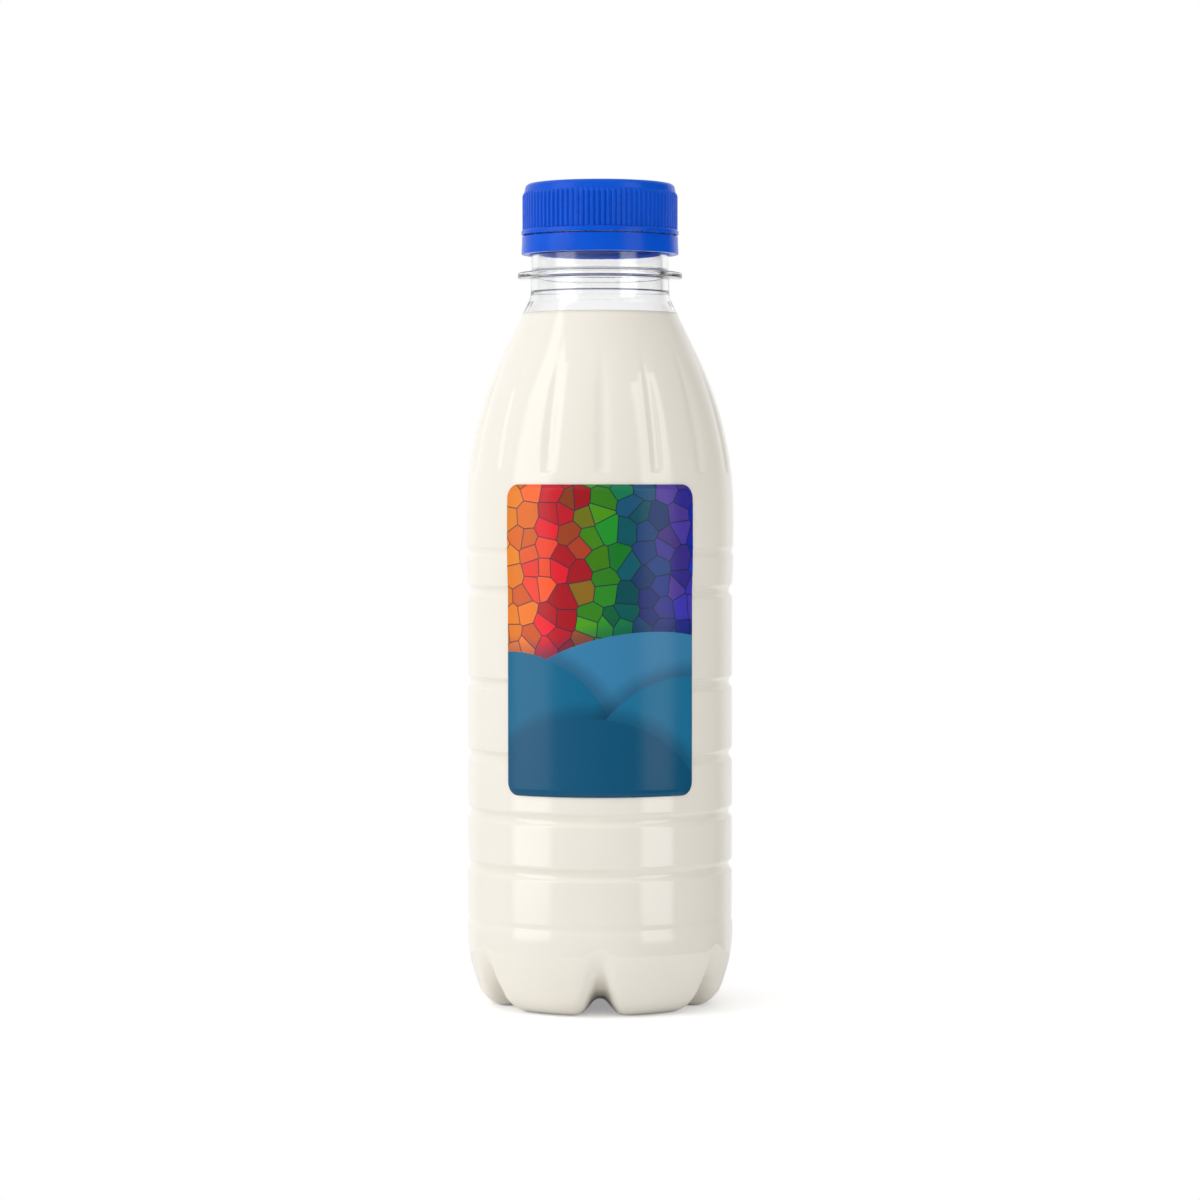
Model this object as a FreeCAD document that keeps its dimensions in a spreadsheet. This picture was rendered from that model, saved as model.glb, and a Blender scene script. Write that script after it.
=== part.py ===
import FreeCAD, Part
import math
import os
import Sketcher

# A laundry detergent bottle: a clear blow-moulded bottle with a ribbed screw cap, a tamper band
# under the cap, a sealing disc in the cap, a front label and the liquid in it.
# It stands on the floor at z = 0, its axis is the Z axis, and its front faces -Y.

XZ_PLANE = FreeCAD.Placement(FreeCAD.Vector(), FreeCAD.Rotation(FreeCAD.Vector(1, 0, 0), 90))
YZ_PLANE = FreeCAD.Placement(FreeCAD.Vector(), FreeCAD.Rotation(90, 0, 90))
START, END = 1, 2
ORIGIN, X_AXIS, Y_AXIS = (-1, 1), -1, -2

DIMENSIONS = (
    # the wall of the bottle, and the liquid inside it
    ("wall", 0.4, "thickness of the blown wall"),
    ("liquid_gap", 0.05, "from the wall to the liquid"),
    ("liquid_drop", 5.56, "from the foot of the neck down to the liquid"),
    # the base with its six feet
    ("pad_width", 1.0, "flat ring of the feet that stands on the floor"),
    ("toe_inset", 9.55, "from the wall in to the outer edge of the flat of the feet"),
    ("foot_radius", 7.25, "rounding of a foot's toe"),
    ("foot_lean", 18.0, "slope of the heel above the toe, in degrees off the vertical"),
    ("heel_radius", 30.0, "blend of the heel into the wall"),
    ("dome_height", 3.2, "rise of the middle of the base"),
    ("dome_radius", 4.0, "flat round the moulding point in the base"),
    ("valley_count", 6, "valleys between the feet"),
    ("valley_bottom", 1.43, "height of the valley's line at the axis"),
    ("valley_inner_bend", 56.0, "radius of the valley's line near the axis"),
    ("valley_overrun", 2.8, "how far the valley's line runs out past the wall"),
    ("valley_inner_turn", 24.0, "slope where the two bends meet, in degrees"),
    ("valley_end_turn", 74.0, "slope at the valley's outer end, in degrees"),
    ("valley_round", 2.6, "rounding at the bottom of the valley"),
    ("valley_flank", 33.0, "half angle between a valley's flanks, in degrees"),
    ("valley_depth", 16.0, "depth of the valley's cutting section"),
    # the body
    ("body_radius", 33.1, "wall between the grooves"),
    ("low_swell", 0.2, "how much the wall stands out below the small step"),
    ("upper_swell", 0.3, "how much the wall stands out above the top groove"),
    ("heel_to_step", 3.67, "from the top of the heel up to the small step"),
    ("step_length", 1.4, "height over which the step runs"),
    ("groove_edge_round", 1.2, "rounding of a groove's two edges"),
    ("groove_floor_round", 1.58, "rounding of a groove's floor"),
    ("groove_slope", 46.0, "steepest slope in a groove, in degrees"),
    ("shallow_slope", 34.0, "steepest slope in the shallow top groove, in degrees"),
    ("step_to_first", 13.5, "from the small step up to the first groove"),
    ("first_to_second", 13.3, "from the first groove up to the second"),
    ("second_to_third", 14.4, "from the second groove up to the third"),
    ("third_to_fourth", 18.0, "from the third groove up to the fourth"),
    ("fourth_to_fifth", 22.7, "from the fourth groove up to the fifth"),
    ("fifth_to_shallow", 9.7, "from the fifth groove up to the shallow one"),
    ("shallow_to_shoulder", 9.3, "from the shallow groove up to the start of the shoulder"),
    # the shoulder and its flutes
    ("shoulder_bend", 90.0, "radius of the shoulder's curve"),
    ("cone_slope", 25.8, "slope of the cone above it, in degrees off the vertical"),
    ("neck_fillet", 5.0, "hollow blend from the cone to the neck"),
    ("flute_count", 15, "shallow flutes round the shoulder"),
    ("flute_phase", 1.0, "turn of the first flute off the front, in degrees"),
    ("flute_radius", 3.3, "radius across a flute"),
    ("flute_depth", 0.5, "depth of a flute at its deepest"),
    ("flute_angle", 12.0, "slope of the shoulder at the deepest point, in degrees"),
    ("flute_bend", 116.0, "radius of the flute's line along the shoulder"),
    ("flute_below", 4.3, "run of the flute below its deepest point, in degrees"),
    ("flute_above", 12.5, "run of the flute above its deepest point, in degrees"),
    # the neck
    ("neck_radius", 17.1, "neck above the carrying ring"),
    ("neck_low_swell", 0.2, "how much thicker the neck is below the carrying ring"),
    ("neck_wall", 1.83, "wall of the neck"),
    ("bore_step", 0.9, "height of the slope where the thick neck becomes thin wall"),
    ("bead_to_mouth", 13.8, "from the underside of the bead up to the mouth"),
    ("lip_round", 0.5, "rounding of the lip"),
    ("ring_reach", 3.4, "how far the carrying ring stands out"),
    ("foot_to_ring", 3.49, "from the foot of the neck up to the carrying ring"),
    ("ring_thickness", 1.3, "thickness of its rim"),
    ("ring_round", 0.3, "rounding of its rim"),
    ("ring_rise", 0.6, "rise of its top towards the neck"),
    ("ring_to_bead", 6.25, "from the carrying ring up to the bead that keeps the tamper band"),
    ("bead_height", 0.85, "how far the bead stands out"),
    ("bead_thickness", 0.5, "thickness of the bead's edge"),
    ("bead_slope", 1.3, "height of the bead's sloping top"),
    # the thread
    ("thread_starts", 3, "threads side by side"),
    ("thread_lead", 9.0, "rise in one turn"),
    ("bead_to_thread", 4.2, "from the top of the bead up to where the neck's threads begin"),
    ("thread_turn", 0.5, "length of a neck thread, in turns"),
    ("thread_height", 0.9, "how far the neck's thread stands out"),
    ("thread_root", 1.6, "width of a thread at its root"),
    ("thread_crest", 0.7, "width of a thread at its crest"),
    ("thread_bite", 0.3, "how deep a thread's root reaches into its wall"),
    ("cap_thread_turn", 0.42, "length of a cap thread, in turns"),
    ("cap_thread_height", 0.85, "how far the cap's thread stands in"),
    # the cap
    ("thread_clearance", 0.25, "from the neck's thread to the cap's inside"),
    ("cap_wall", 0.6, "wall of the cap between its ribs"),
    ("cap_top_thickness", 1.45, "top plate of the cap"),
    ("cap_top_round", 1.2, "rounding of the cap's top edge"),
    ("cap_top_taper", 0.35, "how much the cap narrows above its ribs"),
    ("bead_to_cap", 1.4, "from the top of the bead up to the lower edge of the cap"),
    ("cap_skirt_slope", 0.3, "height over which the plain band meets the ribs"),
    ("cap_skirt_swell", 0.75, "how far the plain band stands out"),
    ("rib_count", 90, "grip ribs"),
    ("rib_height", 0.45, "how far a rib stands out"),
    ("rib_share", 0.64, "share of the ribs' pitch that a rib takes"),
    ("skirt_height", 1.4, "height of the plain band under the ribs"),
    ("rim_height", 2.6, "from the upper end of the ribs to the top of the cap"),
    # the sealing disc
    ("seal_thickness", 0.6, "thickness of the sealing disc"),
    ("seal_gap", 0.05, "from the lip to the disc"),
    ("seal_play", 0.55, "from the cap's inside to the disc's edge"),
    # the tamper band
    ("slit", 0.4, "open slit between the cap and the band"),
    ("band_wall", 1.0, "wall of the band"),
    ("band_flare", 0.15, "how much wider the band is at its lower edge"),
    ("bead_clearance", 0.5, "from the bead to the band's inside"),
    ("catch_play", 0.5, "from the neck to the band's catch"),
    ("catch_drop", 0.2, "from the bead down to the catch"),
    ("catch_height", 1.0, "height of the catch"),
    ("band_edge", 0.2, "bevel of the band's lower edge"),
    ("bridge_count", 16, "small bridges across the slit"),
    ("bridge_width", 0.55, "width of a bridge"),
    ("bridge_inset", 0.25, "from the band's outside to the bridge"),
    ("bridge_depth", 0.5, "thickness of a bridge"),
    ("bridge_gap", 0.03, "from a bridge to the cap's lower edge"),
    # the label
    ("label_rise", 7.3, "from the start of the shoulder up to the label's upper edge"),
    ("label_height", 75.6, "height of the label"),
    ("label_half_angle", 42.4, "half of the angle that the label covers"),
    ("label_corner", 3.2, "rounding of the label's corners"),
    ("label_thickness", 0.1, "thickness of the label"),
    ("label_gap", 0.02, "from the wall to the label"),
)

doc = FreeCAD.newDocument("detergent_bottle")
sheet = doc.addObject("Spreadsheet::Sheet", "Sizes")
for row, (alias, number, meaning) in enumerate(DIMENSIONS, start=1):
    sheet.set(f"A{row}", str(number))
    sheet.setAlias(f"A{row}", alias)
    sheet.set(f"B{row}", meaning)
doc.recompute()


def value(text):
    """The number that an expression gives with the sizes on the sheet."""
    return float(sheet.evalExpression(text))


def bind(item, **expressions):
    """Ties properties of an object to expressions; a double underscore stands for a dot."""
    for name, text in expressions.items():
        item.setExpression(name.replace("__", "."), text)
    return item


def size(alias):
    """The sheet's cell, as it is written in an expression."""
    return f"Sizes.{alias}"


def add(kind, name, label=None, **expressions):
    """A new object of the document, with its properties tied to the sheet."""
    item = doc.addObject(kind, name)
    item.Label = label or name
    return bind(item, **expressions)


# Sizes that follow from the others

LOW_RADIUS = f"({size('body_radius')} + {size('low_swell')})"
UPPER_RADIUS = f"({size('body_radius')} + {size('upper_swell')})"
TOE_RADIUS = f"({LOW_RADIUS} - {size('toe_inset')})"


NECK_LOW_RADIUS = f"({size('neck_radius')} + {size('neck_low_swell')})"
BORE_RADIUS = f"({size('neck_radius')} - {size('neck_wall')})"
BEAD_RADIUS = f"({size('neck_radius')} + {size('bead_height')})"


def heel_top():
    """Height where the heel runs into the upright wall, from the slope that both bends share."""
    lean = size("foot_lean")
    toe_across = f"({TOE_RADIUS} + {size('foot_radius')} * cos({lean}))"
    toe_up = f"{size('foot_radius')} * (1 - sin({lean}))"
    heel_across = f"({LOW_RADIUS} - {size('heel_radius')} * (1 - cos({lean})))"
    rise = f"({heel_across} - {toe_across}) / tan({lean})"
    return f"({toe_up} + {rise} + {size('heel_radius')} * sin({lean}))"


def neck_foot():
    """Height where the shoulder's blend runs into the upright neck: curve, cone and blend."""
    slope = size("cone_slope")
    cone_top = f"({NECK_LOW_RADIUS} + {size('neck_fillet')} * (1 - cos({slope})))"
    cone_foot = f"({UPPER_RADIUS} - {size('shoulder_bend')} * (1 - cos({slope})))"
    bends = f"({size('shoulder_bend')} + {size('neck_fillet')}) * sin({slope})"
    return f"({SHOULDER} + {bends} + ({cone_foot} - {cone_top}) / tan({slope}))"


# Heights, each from the one below it
HEEL_TOP = heel_top()
STEP = f"({HEEL_TOP} + {size('heel_to_step')})"
GROOVE_STEPS = ("step_to_first", "first_to_second", "second_to_third", "third_to_fourth",
                "fourth_to_fifth")
DEEP_GROOVES = [STEP]
for spacing in GROOVE_STEPS:
    DEEP_GROOVES.append(f"({DEEP_GROOVES[-1]} + {size(spacing)})")
DEEP_GROOVES.remove(STEP)
SHALLOW = f"({DEEP_GROOVES[-1]} + {size('fifth_to_shallow')})"
SHOULDER = f"({SHALLOW} + {size('shallow_to_shoulder')})"
LABEL_TOP = f"({SHOULDER} + {size('label_rise')})"
LABEL_BOTTOM = f"({LABEL_TOP} - {size('label_height')})"
NECK_FOOT = neck_foot()
LIQUID_LEVEL = f"({NECK_FOOT} - {size('liquid_drop')})"
RING_BOTTOM = f"({NECK_FOOT} + {size('foot_to_ring')})"
RING_TOP = f"({RING_BOTTOM} + {size('ring_thickness')})"
BEAD_BOTTOM = f"({RING_TOP} + {size('ring_to_bead')})"
BEAD_TOP = f"({BEAD_BOTTOM} + {size('bead_thickness')} + {size('bead_slope')})"
THREAD_START = f"({BEAD_TOP} + {size('bead_to_thread')})"
MOUTH = f"({BEAD_BOTTOM} + {size('bead_to_mouth')})"

# Outlines

def arc_between(start, end, radius, turn):
    """Arc from start to end that turns left or right, and its own start and end point numbers."""
    chord = end - start
    middle = (start + end) * 0.5
    side = FreeCAD.Vector(-chord.y, chord.x, 0).normalize()
    if turn == "right":
        side = side * -1
    centre = middle + side * math.sqrt(max(radius ** 2 - (chord.Length / 2) ** 2, 0.0))
    angles = [math.atan2(p.y - centre.y, p.x - centre.x) for p in (start, end)]
    circle = Part.Circle(centre, FreeCAD.Vector(0, 0, 1), radius)
    if turn == "left":
        return Part.ArcOfCircle(circle, angles[0], angles[1]), START, END
    return Part.ArcOfCircle(circle, angles[1], angles[0]), END, START


def draw(sketch, corners, closed=True):
    """Draws an outline in a sketch and ties every corner and radius to the sheet.

    A corner is (across, up) or (across, up, radius, turn), where the last two describe the arc
    that leads from it to the next corner. All are expressions.
    """
    places = [FreeCAD.Vector(value(corner[0]), value(corner[1]), 0) for corner in corners]
    count = len(corners) if closed else len(corners) - 1
    edges = []
    ends = []
    for index in range(count):
        corner = corners[index]
        following = places[(index + 1) % len(places)]
        if len(corner) == 2:
            edge, first, last = Part.LineSegment(places[index], following), START, END
        else:
            edge, first, last = arc_between(places[index], following, value(corner[2]), corner[3])
        edges.append(edge)
        ends.append((index, first, last))
    sketch.addGeometry(edges, False)
    rules = []
    for index, (edge, first, last) in enumerate(ends):
        corner = corners[index]
        rules += point_rules(edge, first, corner, places[index], index)
        if closed or index + 1 < count:
            following = ends[(index + 1) % count]
            joint = Sketcher.Constraint("Coincident", edge, last, following[0], following[1])
            rules.append((joint, None, None))
        else:
            rules += point_rules(edge, last, corners[-1], places[-1], count)
        if len(corner) == 4:
            bend = Sketcher.Constraint("Radius", edge, value(corner[2]))
            rules.append((bend, f"radius_{index}", corner[2]))
    numbers = sketch.addConstraint([rule[0] for rule in rules])
    for number, (_, name, text) in zip(numbers, rules):
        if name:
            sketch.renameConstraint(number, name)
            sketch.setExpression(f"Constraints.{name}", text)
    return sketch


def point_rules(edge, point, corner, place, index):
    """What fixes one corner: its two distances from the origin, each with a name and expression."""
    rules = []
    for kind, axis, text, number in (("DistanceX", Y_AXIS, corner[0], place.x),
                                     ("DistanceY", X_AXIS, corner[1], place.y)):
        if text == "0":
            rules.append((Sketcher.Constraint("PointOnObject", edge, point, axis), None, None))
            continue
        rule = Sketcher.Constraint(kind, ORIGIN[0], ORIGIN[1], edge, point, number)
        rules.append((rule, f"{kind.lower()}_{index}", text))
    return rules


def turned_body(name, corners, label=None):
    """A body turned about the Z axis from an outline in the XZ plane."""
    body = add("PartDesign::Body", name, label)
    plane = next(item for item in body.Origin.OriginFeatures if item.Role == "XZ_Plane")
    sketch = body.newObject("Sketcher::SketchObject", name + "_outline")
    sketch.AttachmentSupport = (plane, [""])
    sketch.MapMode = "FlatFace"
    draw(sketch, corners)
    turn = body.newObject("PartDesign::Revolution", name + "_turn")
    turn.Profile = sketch
    turn.ReferenceAxis = (sketch, ["V_Axis"])
    turn.Angle = 360
    sketch.Visibility = False
    return body


def loose_sketch(name, corners, placement):
    """A closed outline that stands by itself in a plane of its own."""
    sketch = doc.addObject("Sketcher::SketchObject", name)
    sketch.Placement = placement
    return draw(sketch, corners)


def joined(name, parts, label=None):
    """Several solids as one."""
    union = add("Part::MultiFuse", name, label)
    union.Shapes = parts
    return union


def cut(name, base, tool, label=None):
    """One solid less another."""
    difference = add("Part::Cut", name, label)
    difference.Base = base
    difference.Tool = tool
    return difference


def common(name, base, tool, label=None):
    """What two solids share."""
    shared = add("Part::Common", name, label)
    shared.Base = base
    shared.Tool = tool
    return shared


# The bottle's half outline, from the floor up. Every function takes the inset: how far inside the
# outer skin it draws. The skin has none, the hollow has the wall, and the liquid has a gap more.

def base_corners(inset):
    """The domed middle, the flat of the feet, the toe and the heel."""
    toe = f"({size('foot_radius')} - ({inset}))"
    heel = f"({size('heel_radius')} - ({inset}))"
    lean = size("foot_lean")
    toe_across = f"{TOE_RADIUS} + {toe} * cos({lean})"
    toe_up = f"{size('foot_radius')} - {toe} * sin({lean})"
    heel_axis = f"({LOW_RADIUS} - {size('heel_radius')})"
    return [
        ("0", f"{size('dome_height')} + ({inset})"),
        (size("dome_radius"), f"{size('dome_height')} + ({inset})"),
        (f"{TOE_RADIUS} - {size('pad_width')}", inset),
        (TOE_RADIUS, inset, toe, "left"),
        (toe_across, toe_up),
        (f"{heel_axis} + {heel} * cos({lean})", f"{HEEL_TOP} - {heel} * sin({lean})", heel, "left"),
        (f"{LOW_RADIUS} - ({inset})", HEEL_TOP),
    ]


def groove_corners(height, wall_radius, slope, inset):
    """One ring groove: a rounded edge, a rounded floor and a rounded edge again."""
    edge = size("groove_edge_round")
    floor = size("groove_floor_round")
    edge_inset = f"({edge} - ({inset}))"
    floor_inset = f"({floor} + ({inset}))"
    mouth = f"({edge} + {floor}) * sin({slope})"
    waist_across = f"{wall_radius} - {edge} + {edge_inset} * cos({slope})"
    waist_up = f"{floor_inset} * sin({slope})"
    across = f"{wall_radius} - ({inset})"
    return [
        (across, f"{height} - {mouth}", edge_inset, "left"),
        (waist_across, f"{height} - {waist_up}", floor_inset, "right"),
        (waist_across, f"{height} + {waist_up}", edge_inset, "left"),
        (across, f"{height} + {mouth}"),
    ]


def wall_corners(inset):
    """The small step, the six grooves and the start of the shoulder."""
    corners = [
        (f"{LOW_RADIUS} - ({inset})", f"{STEP} - {size('step_length')} / 2"),
        (f"{size('body_radius')} - ({inset})", f"{STEP} + {size('step_length')} / 2"),
    ]
    for height in DEEP_GROOVES:
        corners += groove_corners(height, size("body_radius"), size("groove_slope"), inset)
    corners += groove_corners(SHALLOW, UPPER_RADIUS, size("shallow_slope"), inset)
    corners.append((f"{UPPER_RADIUS} - ({inset})", SHOULDER,
                    f"{size('shoulder_bend')} - ({inset})", "left"))
    return corners


def shoulder_top(inset):
    """Where the shoulder's curve becomes the cone: its distance across and its height."""
    bend = f"({size('shoulder_bend')} - ({inset}))"
    slope = size("cone_slope")
    across = f"{UPPER_RADIUS} - {size('shoulder_bend')} + {bend} * cos({slope})"
    up = f"{SHOULDER} + {bend} * sin({slope})"
    return across, up


def neck_blend_corners(inset):
    """The cone and the hollow blend into the neck."""
    slope = size("cone_slope")
    bend = f"({size('neck_fillet')} + ({inset}))"
    axis = f"({NECK_LOW_RADIUS} + {size('neck_fillet')})"
    return [
        shoulder_top(inset),
        (f"{axis} - {bend} * cos({slope})", f"{NECK_FOOT} - {bend} * sin({slope})", bend, "right"),
        (f"{NECK_LOW_RADIUS} - ({inset})", NECK_FOOT),
    ]


def ring_and_neck_corners():
    """The carrying ring, the bead that keeps the tamper band, and the lip."""
    rim = size("ring_round")
    neck = size("neck_radius")
    ring = f"({neck} + {size('ring_reach')})"
    lip = size("lip_round")
    return [
        (NECK_LOW_RADIUS, RING_BOTTOM),
        (f"{ring} - {rim}", RING_BOTTOM, rim, "left"),
        (ring, f"{RING_BOTTOM} + {rim}"),
        (ring, f"{RING_TOP} - {rim}", rim, "left"),
        (f"{ring} - {rim}", RING_TOP),
        (neck, f"{RING_TOP} + {size('ring_rise')}"),
        (neck, BEAD_BOTTOM),
        (BEAD_RADIUS, BEAD_BOTTOM),
        (BEAD_RADIUS, f"{BEAD_BOTTOM} + {size('bead_thickness')}"),
        (neck, BEAD_TOP),
        (neck, f"{MOUTH} - {lip}", lip, "left"),
        (f"{neck} - {lip}", MOUTH),
        ("0", MOUTH),
    ]


def mouth_corners():
    """The bore of the neck, up through the lip."""
    lip = size("lip_round")
    return [
        (BORE_RADIUS, f"{NECK_FOOT} + {size('bore_step')}"),
        (BORE_RADIUS, f"{MOUTH} - {lip}", lip, "right"),
        (f"{BORE_RADIUS} + {lip}", MOUTH),
        (f"{BORE_RADIUS} + {lip}", f"{MOUTH} + {lip}"),
        ("0", f"{MOUTH} + {lip}"),
    ]


def liquid_surface_corners(inset):
    """The level of the liquid, which meets the cone."""
    across, up = shoulder_top(inset)
    edge = f"{across} - ({LIQUID_LEVEL} - ({up})) * tan({size('cone_slope')})"
    return [
        (across, up),
        (edge, LIQUID_LEVEL),
        ("0", LIQUID_LEVEL),
    ]


# What is taken from the bottle's outline: six valleys in the base, flutes round the shoulder

def valley_line(name):
    """Line of a valley's bottom, from the axis out through the wall."""
    line = doc.addObject("Sketcher::SketchObject", name)
    line.Placement = XZ_PLANE
    inner = size("valley_inner_bend")
    turn = size("valley_inner_turn")
    last = size("valley_end_turn")
    reach = f"({LOW_RADIUS} + {size('valley_overrun')} - {inner} * sin({turn}))"
    outer = f"({reach} / (sin({last}) - sin({turn})))"
    bottom = size("valley_bottom")
    meeting = (f"{inner} * sin({turn})", f"{bottom} + {inner} * (1 - cos({turn}))")
    finish = (f"{meeting[0]} + {outer} * (sin({last}) - sin({turn}))",
              f"{meeting[1]} + {outer} * (cos({turn}) - cos({last}))")
    return draw(line, [("0", bottom, inner, "left"), (*meeting, outer, "left"), finish], closed=False)


def valley_cutters(name, inset):
    """The valleys between the feet: a rounded wedge led along the valley's line."""
    line = valley_line(name + "_line")
    bend = f"({size('valley_round')} + ({inset}))"
    centre = f"({size('valley_bottom')} - {size('valley_round')})"
    flank = size("valley_flank")
    across = f"{bend} * cos({flank})"
    up = f"{centre} + {bend} * sin({flank})"
    low = f"({size('valley_bottom')} - {size('valley_depth')})"
    spread = f"{across} + ({up} - {low}) * tan({flank})"
    section = [
        (f"-({spread})", low),
        (spread, low),
        (across, up, bend, "left"),
        (f"-({across})", up),
    ]
    sketch = loose_sketch(name + "_section", section, YZ_PLANE)
    cutters = []
    count = int(value(size("valley_count")))
    for index in range(count):
        wedge = doc.addObject("Part::Sweep", f"{name}_{index}")
        wedge.Sections = [sketch]
        wedge.Spine = (line, ["Edge1", "Edge2"])
        wedge.Solid = True
        wedge.Frenet = False
        wedge.Placement = about_axis(index * 360.0 / count - 90.0)
        cutters.append(wedge)
    return cutters


def about_axis(degrees):
    """A turn about the bottle's axis."""
    return FreeCAD.Placement(FreeCAD.Vector(), FreeCAD.Rotation(FreeCAD.Vector(0, 0, 1), degrees))


def flute_cutters(name, inset):
    """Flutes round the shoulder: each is part of a thin ring whose curve is flatter than the
    shoulder's, so that the flute is deepest low down and runs out to nothing above."""
    slope = size("flute_angle")
    deepest = f"{size('shoulder_bend')} - {size('flute_depth')}"
    reach = f"({deepest} + {size('flute_radius')} - {size('flute_bend')})"
    across = f"({UPPER_RADIUS} - {size('shoulder_bend')} + {reach} * cos({slope}))"
    up = f"{SHOULDER} + {reach} * sin({slope})"
    longer = f"({inset}) / {size('flute_bend')} * 180 / pi"
    cutters = []
    count = int(value(size("flute_count")))
    for index in range(count):
        facing = f"(-90 + {size('flute_phase')} + {index} * 360 / {size('flute_count')})"
        ring = add("Part::Torus", f"{name}_{index}",
                   Radius1=size("flute_bend"),
                   Radius2=f"{size('flute_radius')} + ({inset})",
                   Angle3=f"{size('flute_below')} + {size('flute_above')} + {longer}")
        tilt = value(f"{slope} - {size('flute_below')} - {longer}")
        upright = FreeCAD.Rotation(FreeCAD.Vector(1, 0, 0), 90)
        start = FreeCAD.Rotation(FreeCAD.Vector(0, 0, 1), tilt)
        spin = FreeCAD.Rotation(FreeCAD.Vector(0, 0, 1), value(facing))
        ring.Placement = FreeCAD.Placement(FreeCAD.Vector(), spin * upright * start)
        bind(ring,
             Placement__Base__x=f"{across} * cos({facing})",
             Placement__Base__y=f"{across} * sin({facing})",
             Placement__Base__z=up)
        cutters.append(ring)
    return cutters


# Threads

def thread_ridge(name, radius, start_height, turns, root_across, crest_across, angle):
    """One thread: a ridge with sloping flanks, led round the axis on a helix."""
    helix = add("Part::Helix", name + "_helix",
                Pitch=size("thread_lead"),
                Height=f"{size('thread_lead')} * {turns}",
                Radius=radius)
    root = size("thread_root")
    crest = size("thread_crest")
    corners = [
        (root_across, f"-({root}) / 2"),
        (crest_across, f"-({crest}) / 2"),
        (crest_across, f"{crest} / 2"),
        (root_across, f"{root} / 2"),
    ]
    section = loose_sketch(name + "_section", corners, XZ_PLANE)
    ridge = doc.addObject("Part::Sweep", name)
    ridge.Sections = [section]
    ridge.Spine = (helix, ["Edge1"])
    ridge.Solid = True
    ridge.Frenet = True
    ridge.Placement = about_axis(angle)
    bind(ridge, Placement__Base__z=start_height)
    return ridge


def thread_ridges(name, start_height, turns, root_across, crest_across):
    """All the threads of one piece, evenly turned."""
    starts = int(value(size("thread_starts")))
    return [thread_ridge(f"{name}_{index}", root_across, start_height, turns, root_across,
                         crest_across, index * 360.0 / starts)
            for index in range(starts)]


# The bottle

WALL = size("wall")
LIQUID = f"{size('wall')} + {size('liquid_gap')}"


def make_bottle():
    """The blown shell with its neck, threads, feet and flutes."""
    skin = turned_body("skin", base_corners("0") + wall_corners("0") + neck_blend_corners("0")
                       + ring_and_neck_corners())
    threads = thread_ridges("neck_thread", THREAD_START, size("thread_turn"),
                            f"{size('neck_radius')} - {size('thread_bite')}",
                            f"{size('neck_radius')} + {size('thread_height')}")
    cutters = valley_cutters("valley", "0") + flute_cutters("flute", "0")
    outside = cut("outside", joined("skin_and_threads", [skin] + threads),
                  joined("outer_cutters", cutters))
    hollow = turned_body("hollow", base_corners(WALL) + wall_corners(WALL)
                         + neck_blend_corners(WALL) + mouth_corners())
    inner_cutters = valley_cutters("inner_valley", WALL) + flute_cutters("inner_flute", WALL)
    inside = cut("inside", hollow, joined("inner_cutters", inner_cutters))
    return cut("bottle", outside, inside)


def make_liquid():
    """The liquid, which fills the bottle to just under its neck."""
    pool = turned_body("pool", base_corners(LIQUID) + wall_corners(LIQUID)
                       + liquid_surface_corners(LIQUID))
    cutters = valley_cutters("liquid_valley", LIQUID) + flute_cutters("liquid_flute", LIQUID)
    return cut("liquid_detergent", pool, joined("liquid_cutters", cutters))


# The cap

CAP_INSIDE = f"({size('neck_radius')} + {size('thread_height')} + {size('thread_clearance')})"
CAP_ROOT = f"({CAP_INSIDE} + {size('cap_wall')})"
CAP_BOTTOM = f"({BEAD_TOP} + {size('bead_to_cap')})"
RIB_BOTTOM = f"({CAP_BOTTOM} + {size('skirt_height')})"
CEILING = f"({MOUTH} + {size('seal_gap')} + {size('seal_thickness')})"
CAP_TOP = f"({CEILING} + {size('cap_top_thickness')})"
RIB_TOP = f"({CAP_TOP} - {size('rim_height')})"


def cap_edge():
    """The plain band under the ribs."""
    skirt = f"{CAP_ROOT} + {size('cap_skirt_swell')}"
    return turned_body("cap_edge", [
        (CAP_INSIDE, CAP_BOTTOM),
        (skirt, CAP_BOTTOM),
        (skirt, f"{RIB_BOTTOM} - {size('cap_skirt_slope')}"),
        (f"{CAP_ROOT} + {size('rib_height')}", RIB_BOTTOM),
        (CAP_INSIDE, RIB_BOTTOM),
    ])


def cap_plate():
    """The top plate and the smooth rim above the ribs."""
    edge = size("cap_top_round")
    rim = f"{CAP_ROOT} - {size('cap_top_taper')}"
    return turned_body("cap_plate", [
        ("0", CEILING),
        (CAP_INSIDE, CEILING),
        (CAP_INSIDE, RIB_TOP),
        (CAP_ROOT, RIB_TOP),
        (rim, f"{CAP_TOP} - {edge}", edge, "left"),
        (f"{rim} - {edge}", CAP_TOP),
        ("0", CAP_TOP),
    ])


def rib_outline():
    """The ribbed wall seen from above: low bows with short gaps between them."""
    count = int(value(size("rib_count")))
    root = value(CAP_ROOT)
    tip = root + value(size("rib_height"))
    half = value(size("rib_share")) * math.pi / count
    edges = []

    def around(radius, angle):
        return FreeCAD.Vector(radius * math.cos(angle), radius * math.sin(angle), 0)

    for index in range(count):
        middle = 2 * math.pi * index / count
        following = 2 * math.pi * (index + 1) / count
        bow = Part.Arc(around(root, middle - half), around(tip, middle), around(root, middle + half))
        gap = Part.LineSegment(around(root, middle + half), around(root, following - half))
        edges += [bow.toShape(), gap.toShape()]
    hole = Part.Circle(FreeCAD.Vector(), FreeCAD.Vector(0, 0, 1), value(CAP_INSIDE))
    return Part.Face(Part.Wire(edges)).cut(Part.Face(Part.Wire(hole.toShape())))


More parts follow.
